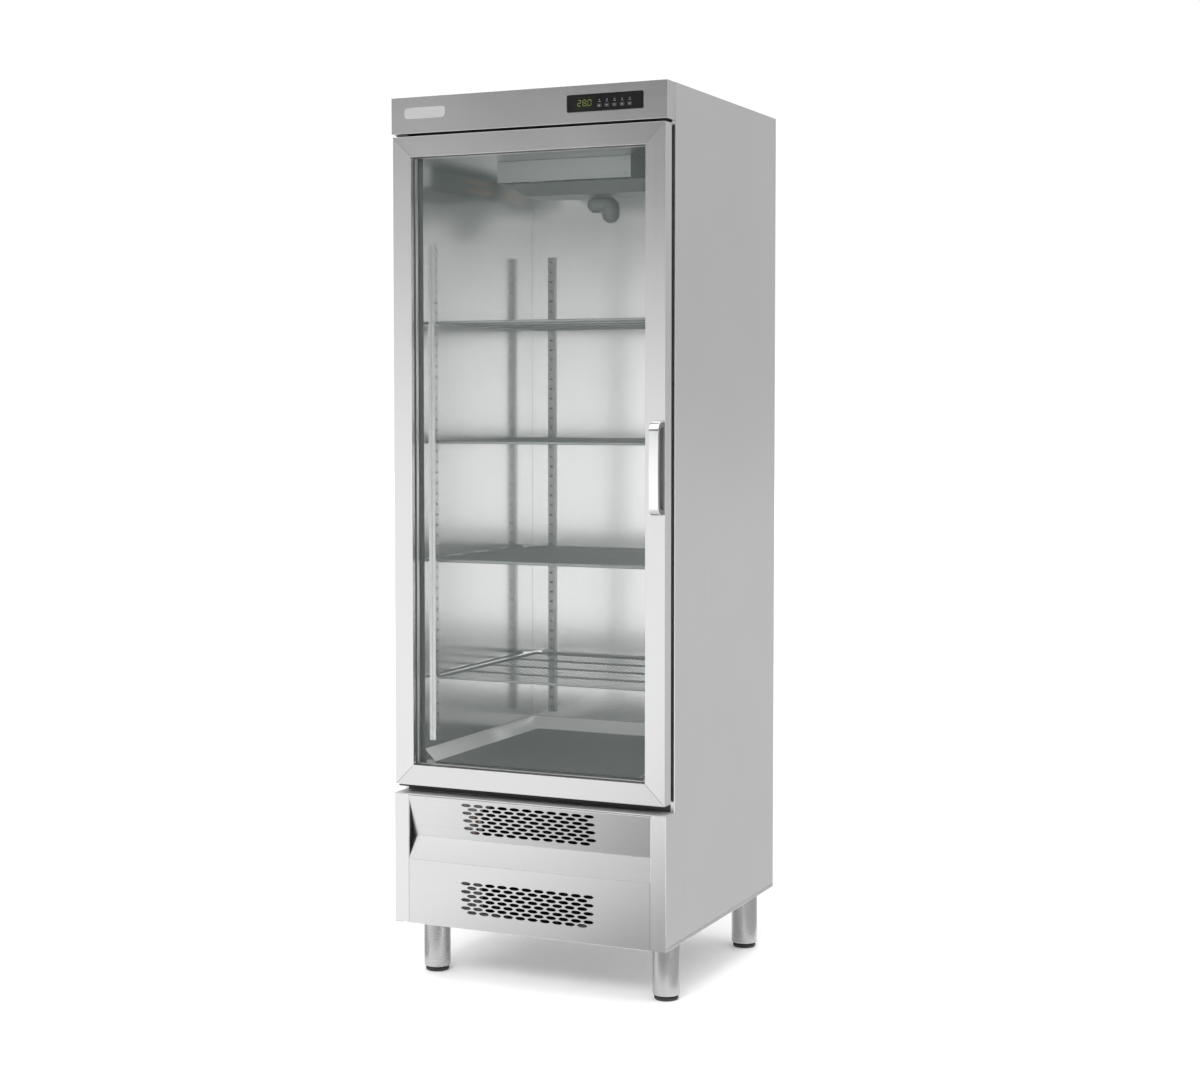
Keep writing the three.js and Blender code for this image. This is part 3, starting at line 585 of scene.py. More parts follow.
def bar_mark(x, z, half_x, half_z, y):
    """A flat rectangle centred at x and z."""
    sides = ((-1, -1), (1, -1), (1, 1), (-1, 1))
    return flat_mark([(x + half_x * u, z + half_z * v) for u, v in sides], y)


def ring_mark(x, z, y):
    line = [(x + RING_MARK * c, y, z + RING_MARK * s) for c, s in spokes(24)]
    return tube(line, 0.3 * MM, 6, closed=True)


MARK = 2 * MM
RING_MARK = 1.9 * MM


def key_mark(kind, x, z, y):
    """Generic signs: up, down, a ring, three bars and a ring with a stroke."""
    if kind in (0, 1):
        up = 1 - 2 * kind
        base = z - up * 1.5 * MM
        corners = [(x - MARK, base), (x + MARK, base), (x, z + up * 1.8 * MM)]
        return [flat_mark(corners, y)]
    if kind == 2:
        return [ring_mark(x, z, y)]
    if kind == 3:
        return [bar_mark(x, z + k * 1.5 * MM, 2.2 * MM, 0.3 * MM, y) for k in (-1, 0, 1)]
    return [ring_mark(x, z, y), bar_mark(x, z + 1.3 * MM, 0.3 * MM, 1.3 * MM, y)]


lamps = []
for i in range(5):
    node = f"key_{i + 1}"
    low, high = box(node)
    middle = (low + high) / 2
    body = f"{node}_body"
    piece(f"key_cap_{i + 1}", [rounded_box(low, high, 0.9 * MM, 3)], "key_rubber", None, [node], body)
    piece(f"key_sign_{i + 1}", key_mark(i, middle.x, middle.z, low.y), "key_rubber", "key_marks", body=body)
    lamps.append(lathe(mm([(0, 0), (1.1, 0), (0.9, 0.3), (0, 0.45)]),
                       (middle.x, face_y + 0.05 * MM, middle.z + 12.5 * MM), (0, -1, 0), 16))
    lamps.append(bar_mark(middle.x, middle.z + 8.6 * MM, 3.2 * MM, 0.3 * MM, face_y))
piece("panel_marks", lamps, "controller_plastic", "key_marks")

# ---- badge ----
low, high = box("badge_plate")
piece("badge", [plate(low, high, [
    (0, high.y, 10 * MM),
    (0, low.y + 0.5 * MM, 10 * MM),
    (0.5 * MM, low.y, 9.5 * MM),
    (2.0 * MM, low.y, 8 * MM),
    (2.6 * MM, low.y + 0.5 * MM, 7.4 * MM),
], 8)], "badge_metal", replaces=["badge_plate"])

# ---- chamber ----
floor_low, floor_high = box("liner_floor")
COVE = 28 * MM
LINER = 1 * MM
SHEET = LINER * 0.9
pan_z = box("insulation_foam")[0].z + 65 * MM


def cove(start, direction):
    """Places and heights of a cove that slopes up to a wall, from the flat to the wall."""
    return [(start - direction * COVE, 0.0), (start, COVE)]


across = cove(floor_low.x + LINER, -1)[::-1] + cove(floor_high.x - LINER, 1)
deep = [(floor_low.y, 0.0), (0.0, 0.0)] + cove(floor_high.y - LINER, 1)
level_faces, cove_faces = [], []
for (y0, rise0), (y1, rise1) in zip(deep, deep[1:]):
    for (x0, lift0), (x1, lift1) in zip(across, across[1:]):
        face = [(x0, y0, pan_z + max(lift0, rise0)), (x1, y0, pan_z + max(lift1, rise0)),
                (x1, y1, pan_z + max(lift1, rise1)), (x0, y1, pan_z + max(lift0, rise1))]
        flat = max(lift0, lift1, rise0, rise1) == 0
        (level_faces if flat else cove_faces).append(face)


def sheet_of(faces):
    """A thin sheet over faces that are given by their corners."""
    points = sorted({corner for face in faces for corner in face})
    return thickened(points, [tuple(points.index(corner) for corner in face) for face in faces], SHEET)


front_lip = rounded_box((floor_low.x + COVE, floor_low.y, floor_low.z),
                        (floor_high.x - COVE, floor_low.y + LINER, pan_z), 0.3 * MM, 2)
# The flat of the floor is near black as painted shade; its coves keep a light steel.
piece("liner_pan", [sheet_of(level_faces), front_lip], "liner_steel", "pan_metal_painted_shade", ["liner_floor"])
piece("liner_coves", [sheet_of(cove_faces)], "liner_steel", "cove_metal")

# ---- pilasters and their clips ----
SLOT_PITCH = 25 * MM
SLOT_WIDE = 8 * MM
SLOT_TALL = 5 * MM
POST_DEEP = 8 * MM
POST_THICK = 1.4 * MM


def perforated_post(low_z, high_z, wide, deep):
    """A slotted channel in its own frame: u across the face, v out from the wall, and height."""
    count = int((high_z - low_z) / SLOT_PITCH)
    start = low_z + (high_z - low_z - count * SLOT_PITCH) / 2
    columns = [(-wide / 2, 0), (-wide / 2, deep), (-SLOT_WIDE / 2, deep), (SLOT_WIDE / 2, deep),
               (wide / 2, deep), (wide / 2, 0)]
    rows = [low_z]
    for i in range(count):
        middle = start + (i + 0.5) * SLOT_PITCH
        rows += [middle - SLOT_TALL / 2, middle + SLOT_TALL / 2]
    rows.append(high_z)
    points = [Vector((u, v, z)) for z in rows for u, v in columns]
    faces = []
    for r in range(len(rows) - 1):
        for c in range(len(columns) - 1):
            if r % 2 == 1 and c == 2:
                continue
            low = r * len(columns) + c
            faces.append((low, low + len(columns), low + len(columns) + 1, low + 1))
    return points, faces


CLIP_REACH = 15 * MM


def clip(level, deep):
    """A folded shelf clip: hooked into a slot, with a resting tongue turned up at its end."""
    hook_z, tongue_z = level + 6 * MM, level - 1 * MM
    line = [(deep - 2 * MM, hook_z), (deep + 0.8 * MM, hook_z), (deep + 0.8 * MM, tongue_z),
            (deep + CLIP_REACH, tongue_z)]
    return prism(bent(line, 1.4 * MM, 1.2 * MM), "x", -6 * MM, 6 * MM)


def moved(parts, place):
    return [([place @ p for p in points], faces) for points, faces in parts]


shelf_levels = [box(f"shelf_{i}")[0].z for i in range(1, 5)]
for row, word, sign in CORNERS:
    node = f"pilaster_{row}_{word}"
    low, high = box(node)
    middle = (low + high) / 2
    if row == "front":
        wall, wide = (high.x if sign > 0 else low.x, middle.y, 0), high.y - low.y
        turn = Matrix.Rotation(sign * math.pi / 2, 4, "Z")
    else:
        wall, wide = (middle.x, high.y, 0), high.x - low.x
        turn = Matrix.Rotation(math.pi, 4, "Z")
    post = thickened(*perforated_post(low.z, high.z, wide, POST_DEEP), POST_THICK)
    parts = [post] + [clip(level - 1.2 * MM, POST_DEEP) for level in shelf_levels]
    # The rear posts take a darker copy of the front posts' steel: painted shade.
    finish = "outer_steel_z" if row == "front" else "post_metal_painted_shade"
    piece(f"post_{row}_{word}", moved(parts, Matrix.Translation(wall) @ turn), "liner_steel", finish, [node])

# ---- wire shelves ----
RIM_ROD = 3 * MM
CROSS_ROD = 2.4 * MM
WIRE = 1.1 * MM
WIRE_PITCH = 12.5 * MM

for i in range(1, 5):
    low, high = box(f"shelf_{i}")
    rim_z = low.z + RIM_ROD
    flat = rounded_rectangle(low.x + RIM_ROD, high.x - RIM_ROD, low.y + RIM_ROD, high.y - RIM_ROD, 14 * MM, 6)
    parts = [tube([Vector((p.x, p.y, rim_z)) for p in flat], RIM_ROD, 12, closed=True)]
    for share in (0.25, 0.5, 0.75):
        y = low.y + share * (high.y - low.y)
        ends = [(x, y, rim_z - 0.4 * MM) for x in (low.x + 4 * MM, high.x - 4 * MM)]
        parts.append(tube(ends, CROSS_ROD, 10))
    count = int((high.x - low.x - 24 * MM) / WIRE_PITCH)
    first = (low.x + high.x - count * WIRE_PITCH) / 2
    for k in range(count + 1):
        x = first + k * WIRE_PITCH
        top = rim_z + CROSS_ROD + WIRE * 0.6
        line = [(x, low.y + 4 * MM, rim_z + 1.2 * MM), (x, low.y + 9 * MM, top), (x, high.y - 9 * MM, top),
                (x, high.y - 4 * MM, rim_z + 1.2 * MM)]
        parts.append(tube(line, WIRE, 6))
    piece(f"rack_{i}", parts, "shelf_wire", None, [f"shelf_{i}"], f"shelf_{i}_body")


# ---- fans ----
def fan(radius, hub, height, blades, lean):
    """A fan about the z axis from z = 0: a domed hub and swept, twisted blades."""
    parts = [lathe([(0, 0), (hub * 0.9, 0), (hub, height * 0.12), (hub, height * 0.8), (hub * 0.8, height),
                    (hub * 0.3, height * 0.96), (0, height * 0.96)], (0, 0, 0), segments=40)]
    spans, chords = 9, 7
    for blade in range(blades):
        turn = 2 * math.pi * blade / blades
        points = []
        for s in range(spans):
            share = s / (spans - 1)
            reach = hub * 0.96 + (radius - hub * 0.96) * share
            chord = hub * (1.5 + 1.4 * math.sin(math.pi * (0.15 + 0.62 * share)))
            sweep = 0.35 * share * share
            pitch = lean * (1 - 0.45 * share)
            for c in range(chords):
                along = (c / (chords - 1) - 0.5) * chord
                angle = turn + sweep + along * math.cos(pitch) / reach
                rise = along * math.sin(pitch) + height * 0.12 * (1 - (2 * c / (chords - 1) - 1) ** 2)
                rise = max(0.9 * MM, min(height - 0.9 * MM, height * 0.45 + rise))
                points.append(Vector((reach * math.cos(angle), reach * math.sin(angle), rise)))
        faces = [(s * chords + c, s * chords + c + 1, (s + 1) * chords + c + 1, (s + 1) * chords + c)
                 for s in range(spans - 1) for c in range(chords - 1)]
        parts.append(thickened(points, faces, 1.2 * MM))
    return parts


low, high = box("evaporator_fan")
middle = (low + high) / 2
place = Matrix.Translation((middle.x, middle.y, low.z))
piece("blower_wheel", moved(fan(69 * MM, 16 * MM, high.z - low.z, 5, 0.5), place), "black_plastic", None,
      ["evaporator_fan"], "blower")
low, high = box("condenser_fan")
middle = (low + high) / 2
place = Matrix.Translation((middle.x, low.y, middle.z)) @ Matrix.Rotation(-math.pi / 2, 4, "X")
piece("cooler_wheel", moved(fan(91 * MM, 24 * MM, high.y - low.y, 5, 0.5), place), "black_plastic", None,
      ["condenser_fan"], "cooler")


# ---- finned coils ----
COIL_PITCH = 4 * MM
COIL_PIPE = 4 * MM


def finned_coil(low, high, rows_y, rows_z):
    """Thin fins across a rank of tubes that turn back at both ends."""
    outline = [(low.y, low.z), (high.y, low.z), (high.y, high.z), (low.y, high.z)]
    count = int((high.x - low.x - 8 * MM) / COIL_PITCH)
    fins = []
    for i in range(count + 1):
        x = low.x + 4 * MM + i * COIL_PITCH
        fins.append(prism(outline, "x", x - 0.15 * MM, x + 0.15 * MM))
    steps_z = (high.z - low.z) / rows_z
    steps_y = (high.y - low.y) / rows_y
    places = []
    for j in range(rows_y):
        order = range(rows_z) if j % 2 == 0 else reversed(range(rows_z))
        places += [(low.y + (j + 0.5) * steps_y, low.z + (k + 0.5) * steps_z) for k in order]
    ends = (low.x + 1 * MM, high.x - 1 * MM)
    tubes = []
    for n, (y, z) in enumerate(places):
        tubes.append(tube([(x, y, z) for x in ends], COIL_PIPE, 10))
        if n + 1 < len(places):
            y2, z2 = places[n + 1]
            end = ends[1 - n % 2]
            tubes.append(tube([(end, y, z), (end, (y + y2) / 2, (z + z2) / 2), (end, y2, z2)], COIL_PIPE, 10))
    return fins, tubes


# The condenser is black: its own coat, and painted shade seen through the grille.
for label, rows_y, rows_z, fin_look, tube_look in (("evaporator", 5, 2, "fin_metal", "copper"),
                                                   ("condenser", 2, 9, "fin_paint_and_shade", "fin_paint_and_shade")):
    fins, tubes = finned_coil(*box(f"{label}_coil"), rows_y, rows_z)
    piece(f"{label}_fins", fins, "fin_metal", fin_look, [f"{label}_coil"])
    piece(f"{label}_tubes", tubes, "fin_metal", tube_look)

# ---- air unit ----
soft_copy("unit_cover", "evaporator_cover", 1.0, "outer_steel", "unit_metal_and_ceiling_shade")
low, high = box("evaporator_cover")
seats = [screw((x, low.y, z), (0, -1, 0)) for x in (low.x + 14 * MM, high.x - 14 * MM)
         for z in (low.z + 9 * MM, high.z - 9 * MM)]
piece("unit_screws", seats, "outer_steel", "unit_metal_and_ceiling_shade")

tray_low, tray_high = box("drip_tray")
BASIN_LOW = Vector((-150 * MM, tray_low.y + 29 * MM, tray_low.z))
BASIN_HIGH = Vector((215 * MM, tray_high.y - 196 * MM, tray_high.z))


def tray_ring(share, lift, radius):
    """One level of the hopper, from the basin at share 0 to the brim at share 1."""
    low = BASIN_LOW.lerp(tray_low, share)
    high = BASIN_HIGH.lerp(tray_high, share)
    z = tray_low.z + (tray_high.z - tray_low.z) * share + lift
    return [Vector((p.x, p.y, z)) for p in rounded_rectangle(low.x, high.x, low.y, high.y, radius, 6)]


levels = [tray_ring(0.0, 0, 26 * MM), tray_ring(0.0, 0.6 * MM, 28 * MM), tray_ring(0.08, 0, 28 * MM)]
levels += [tray_ring(share, 0, 28 * MM - 16 * MM * share) for share in (0.3, 0.6, 0.86)]
levels += [tray_ring(0.94, 1 * MM, 10 * MM), tray_ring(1.0, -0.4 * MM, 8 * MM), tray_ring(1.0, 0, 7 * MM)]
tray_points, tray_faces = loft(levels, capped=False)
tray_faces.append(tuple(range(len(levels[0])))[::-1])
piece("drip_hopper", [thickened(tray_points, tray_faces, 2.2 * MM)], "tray_plastic", replaces=["drip_tray"])

low, high = box("drain_elbow")
PIPE = 19.5 * MM
NOSE = 21.5 * MM
BEND = 10 * MM
THIN_END = 0.4 * MM
middle_y = (low.y + high.y) / 2
axis_z = high.z - PIPE
axis_x = high.x - NOSE
start_x = low.x + PIPE
nose_z = low.z + NOSE
quarter_turn = [math.pi / 2 * k / 8 for k in range(9)]
line = [(start_x - PIPE * math.cos(a), middle_y, axis_z) for a in quarter_turn]
sizes = [max(THIN_END, PIPE * math.sin(a)) for a in quarter_turn]
line += [(axis_x - BEND * (1 - math.sin(a)), middle_y, axis_z - BEND * (1 - math.cos(a)))
         for a in quarter_turn]
sizes += [PIPE + (NOSE - PIPE) * k / 8 for k in range(9)]
line += [(axis_x, middle_y, nose_z - NOSE * math.sin(a)) for a in quarter_turn]
sizes += [max(THIN_END, NOSE * math.cos(a)) for a in quarter_turn]
collar = lathe([(PIPE - 0.2 * MM, 0), (PIPE + 0.3 * MM, 0.6 * MM), (PIPE + 0.3 * MM, 5 * MM),
                (PIPE - 0.2 * MM, 5.6 * MM)], (start_x, middle_y, axis_z), (1, 0, 0), 40)
piece("drain_pipe", [tube(line, PIPE, 32, radii=sizes), collar], "tray_plastic", replaces=["drain_elbow"])

low, high = box("air_heater")
centre = (low + high) / 2
LOOP = (high.x - low.x) / 2 - 3.5 * MM
ring = [centre + Vector((LOOP * c, LOOP * s, 0)) for c, s in spokes(72)]
STUD = mm([(2, 0), (2, 5), (1.2, 5.4)])
studs = [lathe(STUD, centre + Vector((LOOP, dy, 0)), (0, 0, 1), 12) for dy in (-4 * MM, 4 * MM)]
piece("heater_ring", [tube(ring, 3.4 * MM, 12, closed=True), *studs], "heater_steel", replaces=["air_heater"])

# ---- machine compartment ----
low, high = box("compressor")
can_x, can_y = low.x + 100 * MM, low.y + 90 * MM
base = low.z
can = [(0, 6), (60, 6), (70, 12), (75, 24), (76, 60), (76, 96), (76, 97), (78, 98), (78, 101), (75.6, 102),
       (75, 118), (72, 134), (64, 150), (52, 162), (34, 170), (14, 173.5), (0, 174)]
CAN_TRIM = 0.985
parts = [lathe([(r * MM * CAN_TRIM, z * MM) for r, z in can], (can_x, can_y, base), segments=56)]
parts.append(rounded_box((low.x, low.y, base), (high.x, high.y, base + 3 * MM), 1.2 * MM))
GROMMET = mm([(10, 3), (10, 7), (7, 8), (7, 11), (4, 12), (0, 12)])
for x in (low.x + 18 * MM, high.x - 18 * MM):
    for y in (low.y + 18 * MM, high.y - 18 * MM):
        parts.append(lathe(GROMMET, (x, y, base), segments=24))
for angle in (0.6, 2.2, 3.8, 5.4):
    spot = Vector((can_x + 66 * MM * math.cos(angle), can_y + 66 * MM * math.sin(angle), base))
    parts.append(rounded_box(spot + Vector((-9, -9, 2.5)) * MM, spot + Vector((9, 9, 16)) * MM, 2 * MM))
parts.append(rounded_box((can_x + 62 * MM, can_y - 20 * MM, base + 60 * MM),
                         (can_x + 94 * MM, can_y + 20 * MM, base + 110 * MM), 3 * MM))
piece("compressor_unit", parts, "machine_paint", replaces=["compressor"])
coil_low, coil_high = box("condenser_coil")
gas_x = can_x + 40 * MM
gas_z = base + 205 * MM
turn_x, turn_y = coil_low.x - 18 * MM, coil_low.y + 11 * MM
joint_z = coil_high.z - 14 * MM
far_y = coil_high.y + 60 * MM
suction_x, suction_y = can_x - 30 * MM, can_y + 20 * MM
suction_z = base + 240 * MM
pipes = [
    [(gas_x, can_y, base + 150 * MM), (gas_x, can_y, gas_z), (gas_x, far_y, gas_z), (turn_x, far_y, gas_z),
     (turn_x, turn_y, gas_z), (turn_x, turn_y, joint_z), (coil_low.x + 2 * MM, turn_y, joint_z)],
    [(suction_x, suction_y, base + 155 * MM), (suction_x, suction_y, suction_z),
     (suction_x, can_y + 80 * MM, suction_z), (suction_x, can_y + 80 * MM, LOWER_TOP + 6 * MM)],
]
bent_pipes = [filleted(line, 12 * MM, 5, closed=False) for line in pipes]
piece("refrigerant_pipes", [tube(line, 4 * MM, 12) for line in bent_pipes], "fin_metal", "copper")
soft_copy("cooler_shroud", "condenser_fan_motor", 0.8, "machine_paint", limit=40)
soft_copy("cord_gland", "cable_gland", 0.8, "black_plastic", limit=40)

# ---- grille panel ----
low, high = box("grille_panel")
HOLE_ROWS = 8
HOLES_ACROSS = 11
HOLE_PITCH = 31.4 * MM
HOLE_ROW = 9.6 * MM
HOLE_LONG = 27 * MM
HOLE_TALL = 8 * MM
FOLD_DEPTH = 20 * MM
FOLD_Z = 345 * MM
LIP_Z = 291 * MM
FIELD_Z = (396 * MM, 212.5 * MM)
half = high.x
top_z = high.z
bottom_z = low.z

corners = [(FRONT + 16 * MM, top_z), (FRONT, top_z), (FRONT, top_z - 2 * MM), (FRONT + FOLD_DEPTH, FOLD_Z),
           (FRONT, LIP_Z), (FRONT, bottom_z), (FRONT + 14 * MM, bottom_z)]
path = filleted(corners, 2.2 * MM, 4, closed=False)
lengths = [0.0]
for i in range(1, len(path)):
    lengths.append(lengths[-1] + (path[i] - path[i - 1]).length)


def on_path(s):
    """The point of the panel's section at that length along it."""
    for i in range(1, len(path)):
        if s <= lengths[i] + 1e-9:
            share = (s - lengths[i - 1]) / max(lengths[i] - lengths[i - 1], 1e-9)
            return path[i - 1].lerp(path[i], share)
    return path[-1]


def length_at(z, after):
    """The length along the section where it passes that height, past the given length."""
    for i in range(1, len(path)):
        if lengths[i] > after and path[i].y <= z <= path[i - 1].y:
            return lengths[i - 1] + (path[i - 1].y - z) / max(path[i - 1].y - path[i].y, 1e-9) * (
                lengths[i] - lengths[i - 1])
    return lengths[-1]


field_half = HOLE_ROWS * HOLE_ROW / 2
starts = [length_at(z, 20 * MM) - field_half for z in FIELD_Z]
field_wide = HOLES_ACROSS * HOLE_PITCH / 2
quarter = HOLE_PITCH / 4
columns = [-half, -field_wide] + [-field_wide + quarter * (k + 1) for k in range(4 * HOLES_ACROSS)] + [half]
NEAR = 0.1 * MM
rows = [start + HOLE_ROW * k for start in starts for k in range(HOLE_ROWS + 1)]
bends = [s for s in lengths if not any(a - NEAR < s < a + 2 * field_half + NEAR for a in starts)]
levels = sorted(bends + rows)

panel_points = []
panel_faces = []
known = {}


def vertex(x, s):
    """The number of the panel's vertex at x and length s, made at its first use."""
    name = (round(x, 6), round(s, 6))
    if name not in known:
        spot = on_path(s)
        known[name] = len(panel_points)
        panel_points.append(Vector((x, spot.x, spot.y)))
    return known[name]


def slotted_cell(x, s0, s1):
    """A cell that starts at x, with a blunt oval hole and vertices at every quarter."""
    middle = (s0 + s1) / 2
    outer = [vertex(x + quarter * k, s0) for k in range(5)] + [vertex(x + HOLE_PITCH, middle)]
    outer += [vertex(x + quarter * k, s1) for k in (4, 3, 2, 1, 0)] + [vertex(x, middle)]
    centre = x + HOLE_PITCH / 2
    inner = []
    for side, steps in ((-1, range(1, 6)), (0, (6,)), (1, range(5, 0, -1)), (0, (0,))):
        for k in steps:
            u = 2 * k / 6 - 1
            bulge = (1 - u ** 4) * HOLE_TALL / 2
            inner.append(vertex(centre + u * HOLE_LONG / 2, middle + side * bulge))
    for k in range(12):
        n = (k + 1) % 12
        panel_faces.append((outer[k], outer[n], inner[n], inner[k]))


for s0, s1 in zip(levels, levels[1:]):
    middle = (s0 + s1) / 2
    field = next((a for a in starts if a < middle < a + 2 * field_half), None)
    if field is None:
        for a, b in zip(columns, columns[1:]):
            panel_faces.append((vertex(a, s0), vertex(b, s0), vertex(b, s1), vertex(a, s1)))
        continue
    odd = int((middle - field) / HOLE_ROW) % 2
    shift = HOLE_PITCH / 2 * odd
    for k in range(HOLES_ACROSS - odd):
        slotted_cell(-field_wide + shift + k * HOLE_PITCH, s0, s1)
    for sign in (-1, 1):
        edge = sign * field_wide
        cell = edge - sign * shift
        face = [vertex(sign * half, s1), vertex(sign * half, s0), vertex(edge, s0)]
        if odd:
            near = edge - sign * quarter
            face += [vertex(near, s0), vertex(cell, s0), vertex(cell, middle), vertex(cell, s1),
                     vertex(near, s1), vertex(edge, s1)]
        else:
            face += [vertex(edge, middle), vertex(edge, s1)]
        panel_faces.append(tuple(face if sign < 0 else face[::-1]))

surface = bmesh.new()
for point in panel_points:
    surface.verts.new(point)
surface.verts.ensure_lookup_table()
for face in panel_faces:
    surface.faces.new([surface.verts[i] for i in face])
bmesh.ops.recalc_face_normals(surface, faces=surface.faces)
surface.faces.ensure_lookup_table()
front_face = max(surface.faces, key=lambda f: f.calc_area())
if front_face.normal.y > 0:
    bmesh.ops.reverse_faces(surface, faces=surface.faces)
piece("vent_panel", [thickened(*taken(surface), SKIN)], "outer_steel", "outer_steel_x", ["grille_panel"],
      "grille", smooth=30)

# ---- door ----
door_low = box("door_stile_left")[0]
door_high = box("door_stile_right")[1]
MITRE_GAP = 0.45 * MM
SECTION = [(0, 0), (48, 0), (48, 14.6), (37, 14.6), (37, 32.9), (46, 32.9), (46, 36), (0, 36)]
section = filleted(mm(SECTION), 0.9 * MM, 3)


def mitred(side):
    """One bar of the door frame, cut at 45 degrees at both ends."""
    rings = []
    for end in (-1, 1):
        ring = []
        for inset, depth in section:
            y = FRONT + depth
            if side in ("left", "right"):
                x = door_low.x + inset if side == "left" else door_high.x - inset
                z = (door_low.z if end < 0 else door_high.z) - end * (inset + MITRE_GAP)
            else:
                z = door_low.z + inset if side == "bottom" else door_high.z - inset
                x = (door_low.x if end < 0 else door_high.x) - end * (inset + MITRE_GAP)
            ring.append(Vector((x, y, z)))
        rings.append(ring)
    return loft(rings)


for word, bar, steel in (("left", "stile", "outer_steel_z"), ("right", "stile", "outer_steel_z"),
                         ("top", "rail", "outer_steel_x"), ("bottom", "rail", "outer_steel_x")):
    piece(f"{bar}_{word}", [mitred(word)], "outer_steel", steel, [f"door_{bar}_{word}"], "door")

low, high = box("glass_outer")
inner_y = box("glass_inner")[0].y
spacer = [(0.6, high.y + 0.2 * MM), (11.4, high.y + 0.2 * MM), (12, high.y + 0.8 * MM),
          (12, inner_y - 0.8 * MM), (11.4, inner_y - 0.2 * MM), (0.6, inner_y - 0.2 * MM)]
bead = [(8.5, low.y - 0.1 * MM), (8.5, low.y - 0.4 * MM), (11.6, low.y - 0.5 * MM), (12.2, low.y - 0.1 * MM)]
for name, profile, slot, finish in (("glass_spacer", spacer, "handle_metal", "spacer_metal"),
                                    ("glazing_bead", bead, "seal_rubber", None)):
    piece(name, [framed([(a * MM, y) for a, y in profile], low, high)], slot, finish, body="door")

low, high = box("door_gasket")
GASKET = [(0, 0), (14, 0), (14, 1.6), (10.5, 2.2), (12.4, 4.4), (12.4, 6.2), (10.4, 8), (13.2, 10),
          (13.6, 12.6), (12.6, 13.7), (1.4, 13.7), (0.4, 12.6), (0.8, 10), (3.4, 8), (1.6, 6.2),
          (1.6, 4.4), (3.4, 2.2), (0, 1.6)]
profile = [(p.x, low.y + p.y) for p in filleted(mm(GASKET), 0.7 * MM, 2)]
piece("gasket", [framed(profile, low, high)], "seal_rubber", None, ["door_gasket"], "door", smooth=50)

for word in ("top", "bottom"):
    soft_copy(f"hinge_{word}", f"hinge_bracket_{word}", 0.8, "surround_plastic")

# ---- handle ----
soft_copy("grip_core", "handle_base", 1.4, "handle_plastic", body="door", limit=40)
soft_copy("grip_strip", "handle_bar", 0.9, "handle_metal", body="door", limit=40)

# ---- legs and feet ----
LEG_WALL = 1.6 * MM
CAP = 3 * MM
FOOT = [(0, 0), (24, 0), (26.5, 0.8), (28, 2.6), (28, 7.4), (27.2, 8.6), (26, 9), (25, 9.4), (25, 10.6),
        (26, 11.4), (29.2, 12.4), (29.4, 14), (29.4, 56), (28, 58), (0, 58)]
for row, word, _ in CORNERS:
    corner = f"{row}_{word}"
    low, high = box(f"leg_{corner}")
    centre = ((low.x + high.x) / 2, (low.y + high.y) / 2, 0)
    radius = (high.x - low.x) / 2
    bore = radius - LEG_WALL
    profile = [(0, high.z - CAP), (bore, high.z - CAP), (bore, low.z), (radius - 0.8 * MM, low.z),
               (radius - 0.4 * MM, low.z + 0.3 * MM), (radius, low.z + 1.2 * MM), (radius, high.z),
               (0, high.z)]
    piece(f"leg_tube_{corner}", [lathe(profile, centre, segments=64)], "leg_steel", None, [f"leg_{corner}"])
    pad = lathe(mm(FOOT), centre, segments=64)
    piece(f"foot_pad_{corner}", [pad], "foot_plastic", None, [f"foot_{corner}"], f"foot_{corner}_body")

# ---- finishes of the CAD nodes that stay in view ----
KEPT = {
    "liner_left": "wall_metal",
    "liner_right": "wall_metal",
    # The back wall takes a lighter copy of the liner steel: painted light.
    "liner_back": "back_metal_painted_light",
    # The ceiling takes the darker unit metal: painted shade for the dim top of the chamber.
    "liner_ceiling": "unit_metal_and_ceiling_shade",
    "insulation_foam": "foam",
    "door_surround": "surround_plastic",
    "glass_outer": "glass",
    "glass_inner": "glass",
}
for node, finish in KEPT.items():
    for material_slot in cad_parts[node].material_slots:
        material_slot.material = FINISHES[finish]

# ---- floor and light ----
def staged(name, low, high, height, finish):
    """A level sheet that belongs to the studio, between two corners at a height."""
    mesh = bpy.data.meshes.new(name)
    corners = [(low[0], low[1]), (high[0], low[1]), (high[0], high[1]), (low[0], high[1])]
    mesh.from_pydata([(x, y, height) for x, y in corners], [], [(0, 1, 2, 3)])
    mesh.materials.append(FINISHES[finish])
    made = bpy.data.objects.new(name, mesh)
    scene.collection.objects.link(made)
    return made


FLOOR_REACH = 30
moulded("floor_paint", 0.90, 0.93, 0.55, 0.7, 60, 0.0002, Emission_Color=(1, 1, 1, 1), Emission_Strength=0.12)
staged("studio_floor", (-FLOOR_REACH, -FLOOR_REACH), (FLOOR_REACH, FLOOR_REACH), 0, "floor_paint")

world = bpy.data.worlds.new("studio")
scene.world = world
sky = Nodes(world)
sky.tree.nodes.clear()
direction = sky.add("TexCoord").outputs["Generated"]
upward = sky.add("SeparateXYZ", links={0: direction}).outputs["Z"]


def sky_ramp(stops):
    """Brightness against how far up a direction points, through the stops of place and level."""
    ramp = sky.add("ValToRGB", links={"Fac": upward})
    elements = ramp.color_ramp.elements
    elements[0].position, elements[1].position = stops[0][0], stops[-1][0]
    elements[0].color = (stops[0][1],) * 3 + (1,)
    elements[1].color = (stops[-1][1],) * 3 + (1,)
    for place, level in stops[1:-1]:
        elements.new(place).color = (level, level, level, 1)
    return ramp.outputs["Color"]


def facing(toward, low, high):
    """How far a direction points toward a heading: 0 below low, 1 above high."""
    product = sky.add("VectorMath", {1: toward}, {0: direction}, operation="DOT_PRODUCT")
    return sky.ranged(product.outputs["Value"], low, high, 0, 1, interpolation_type="SMOOTHSTEP")


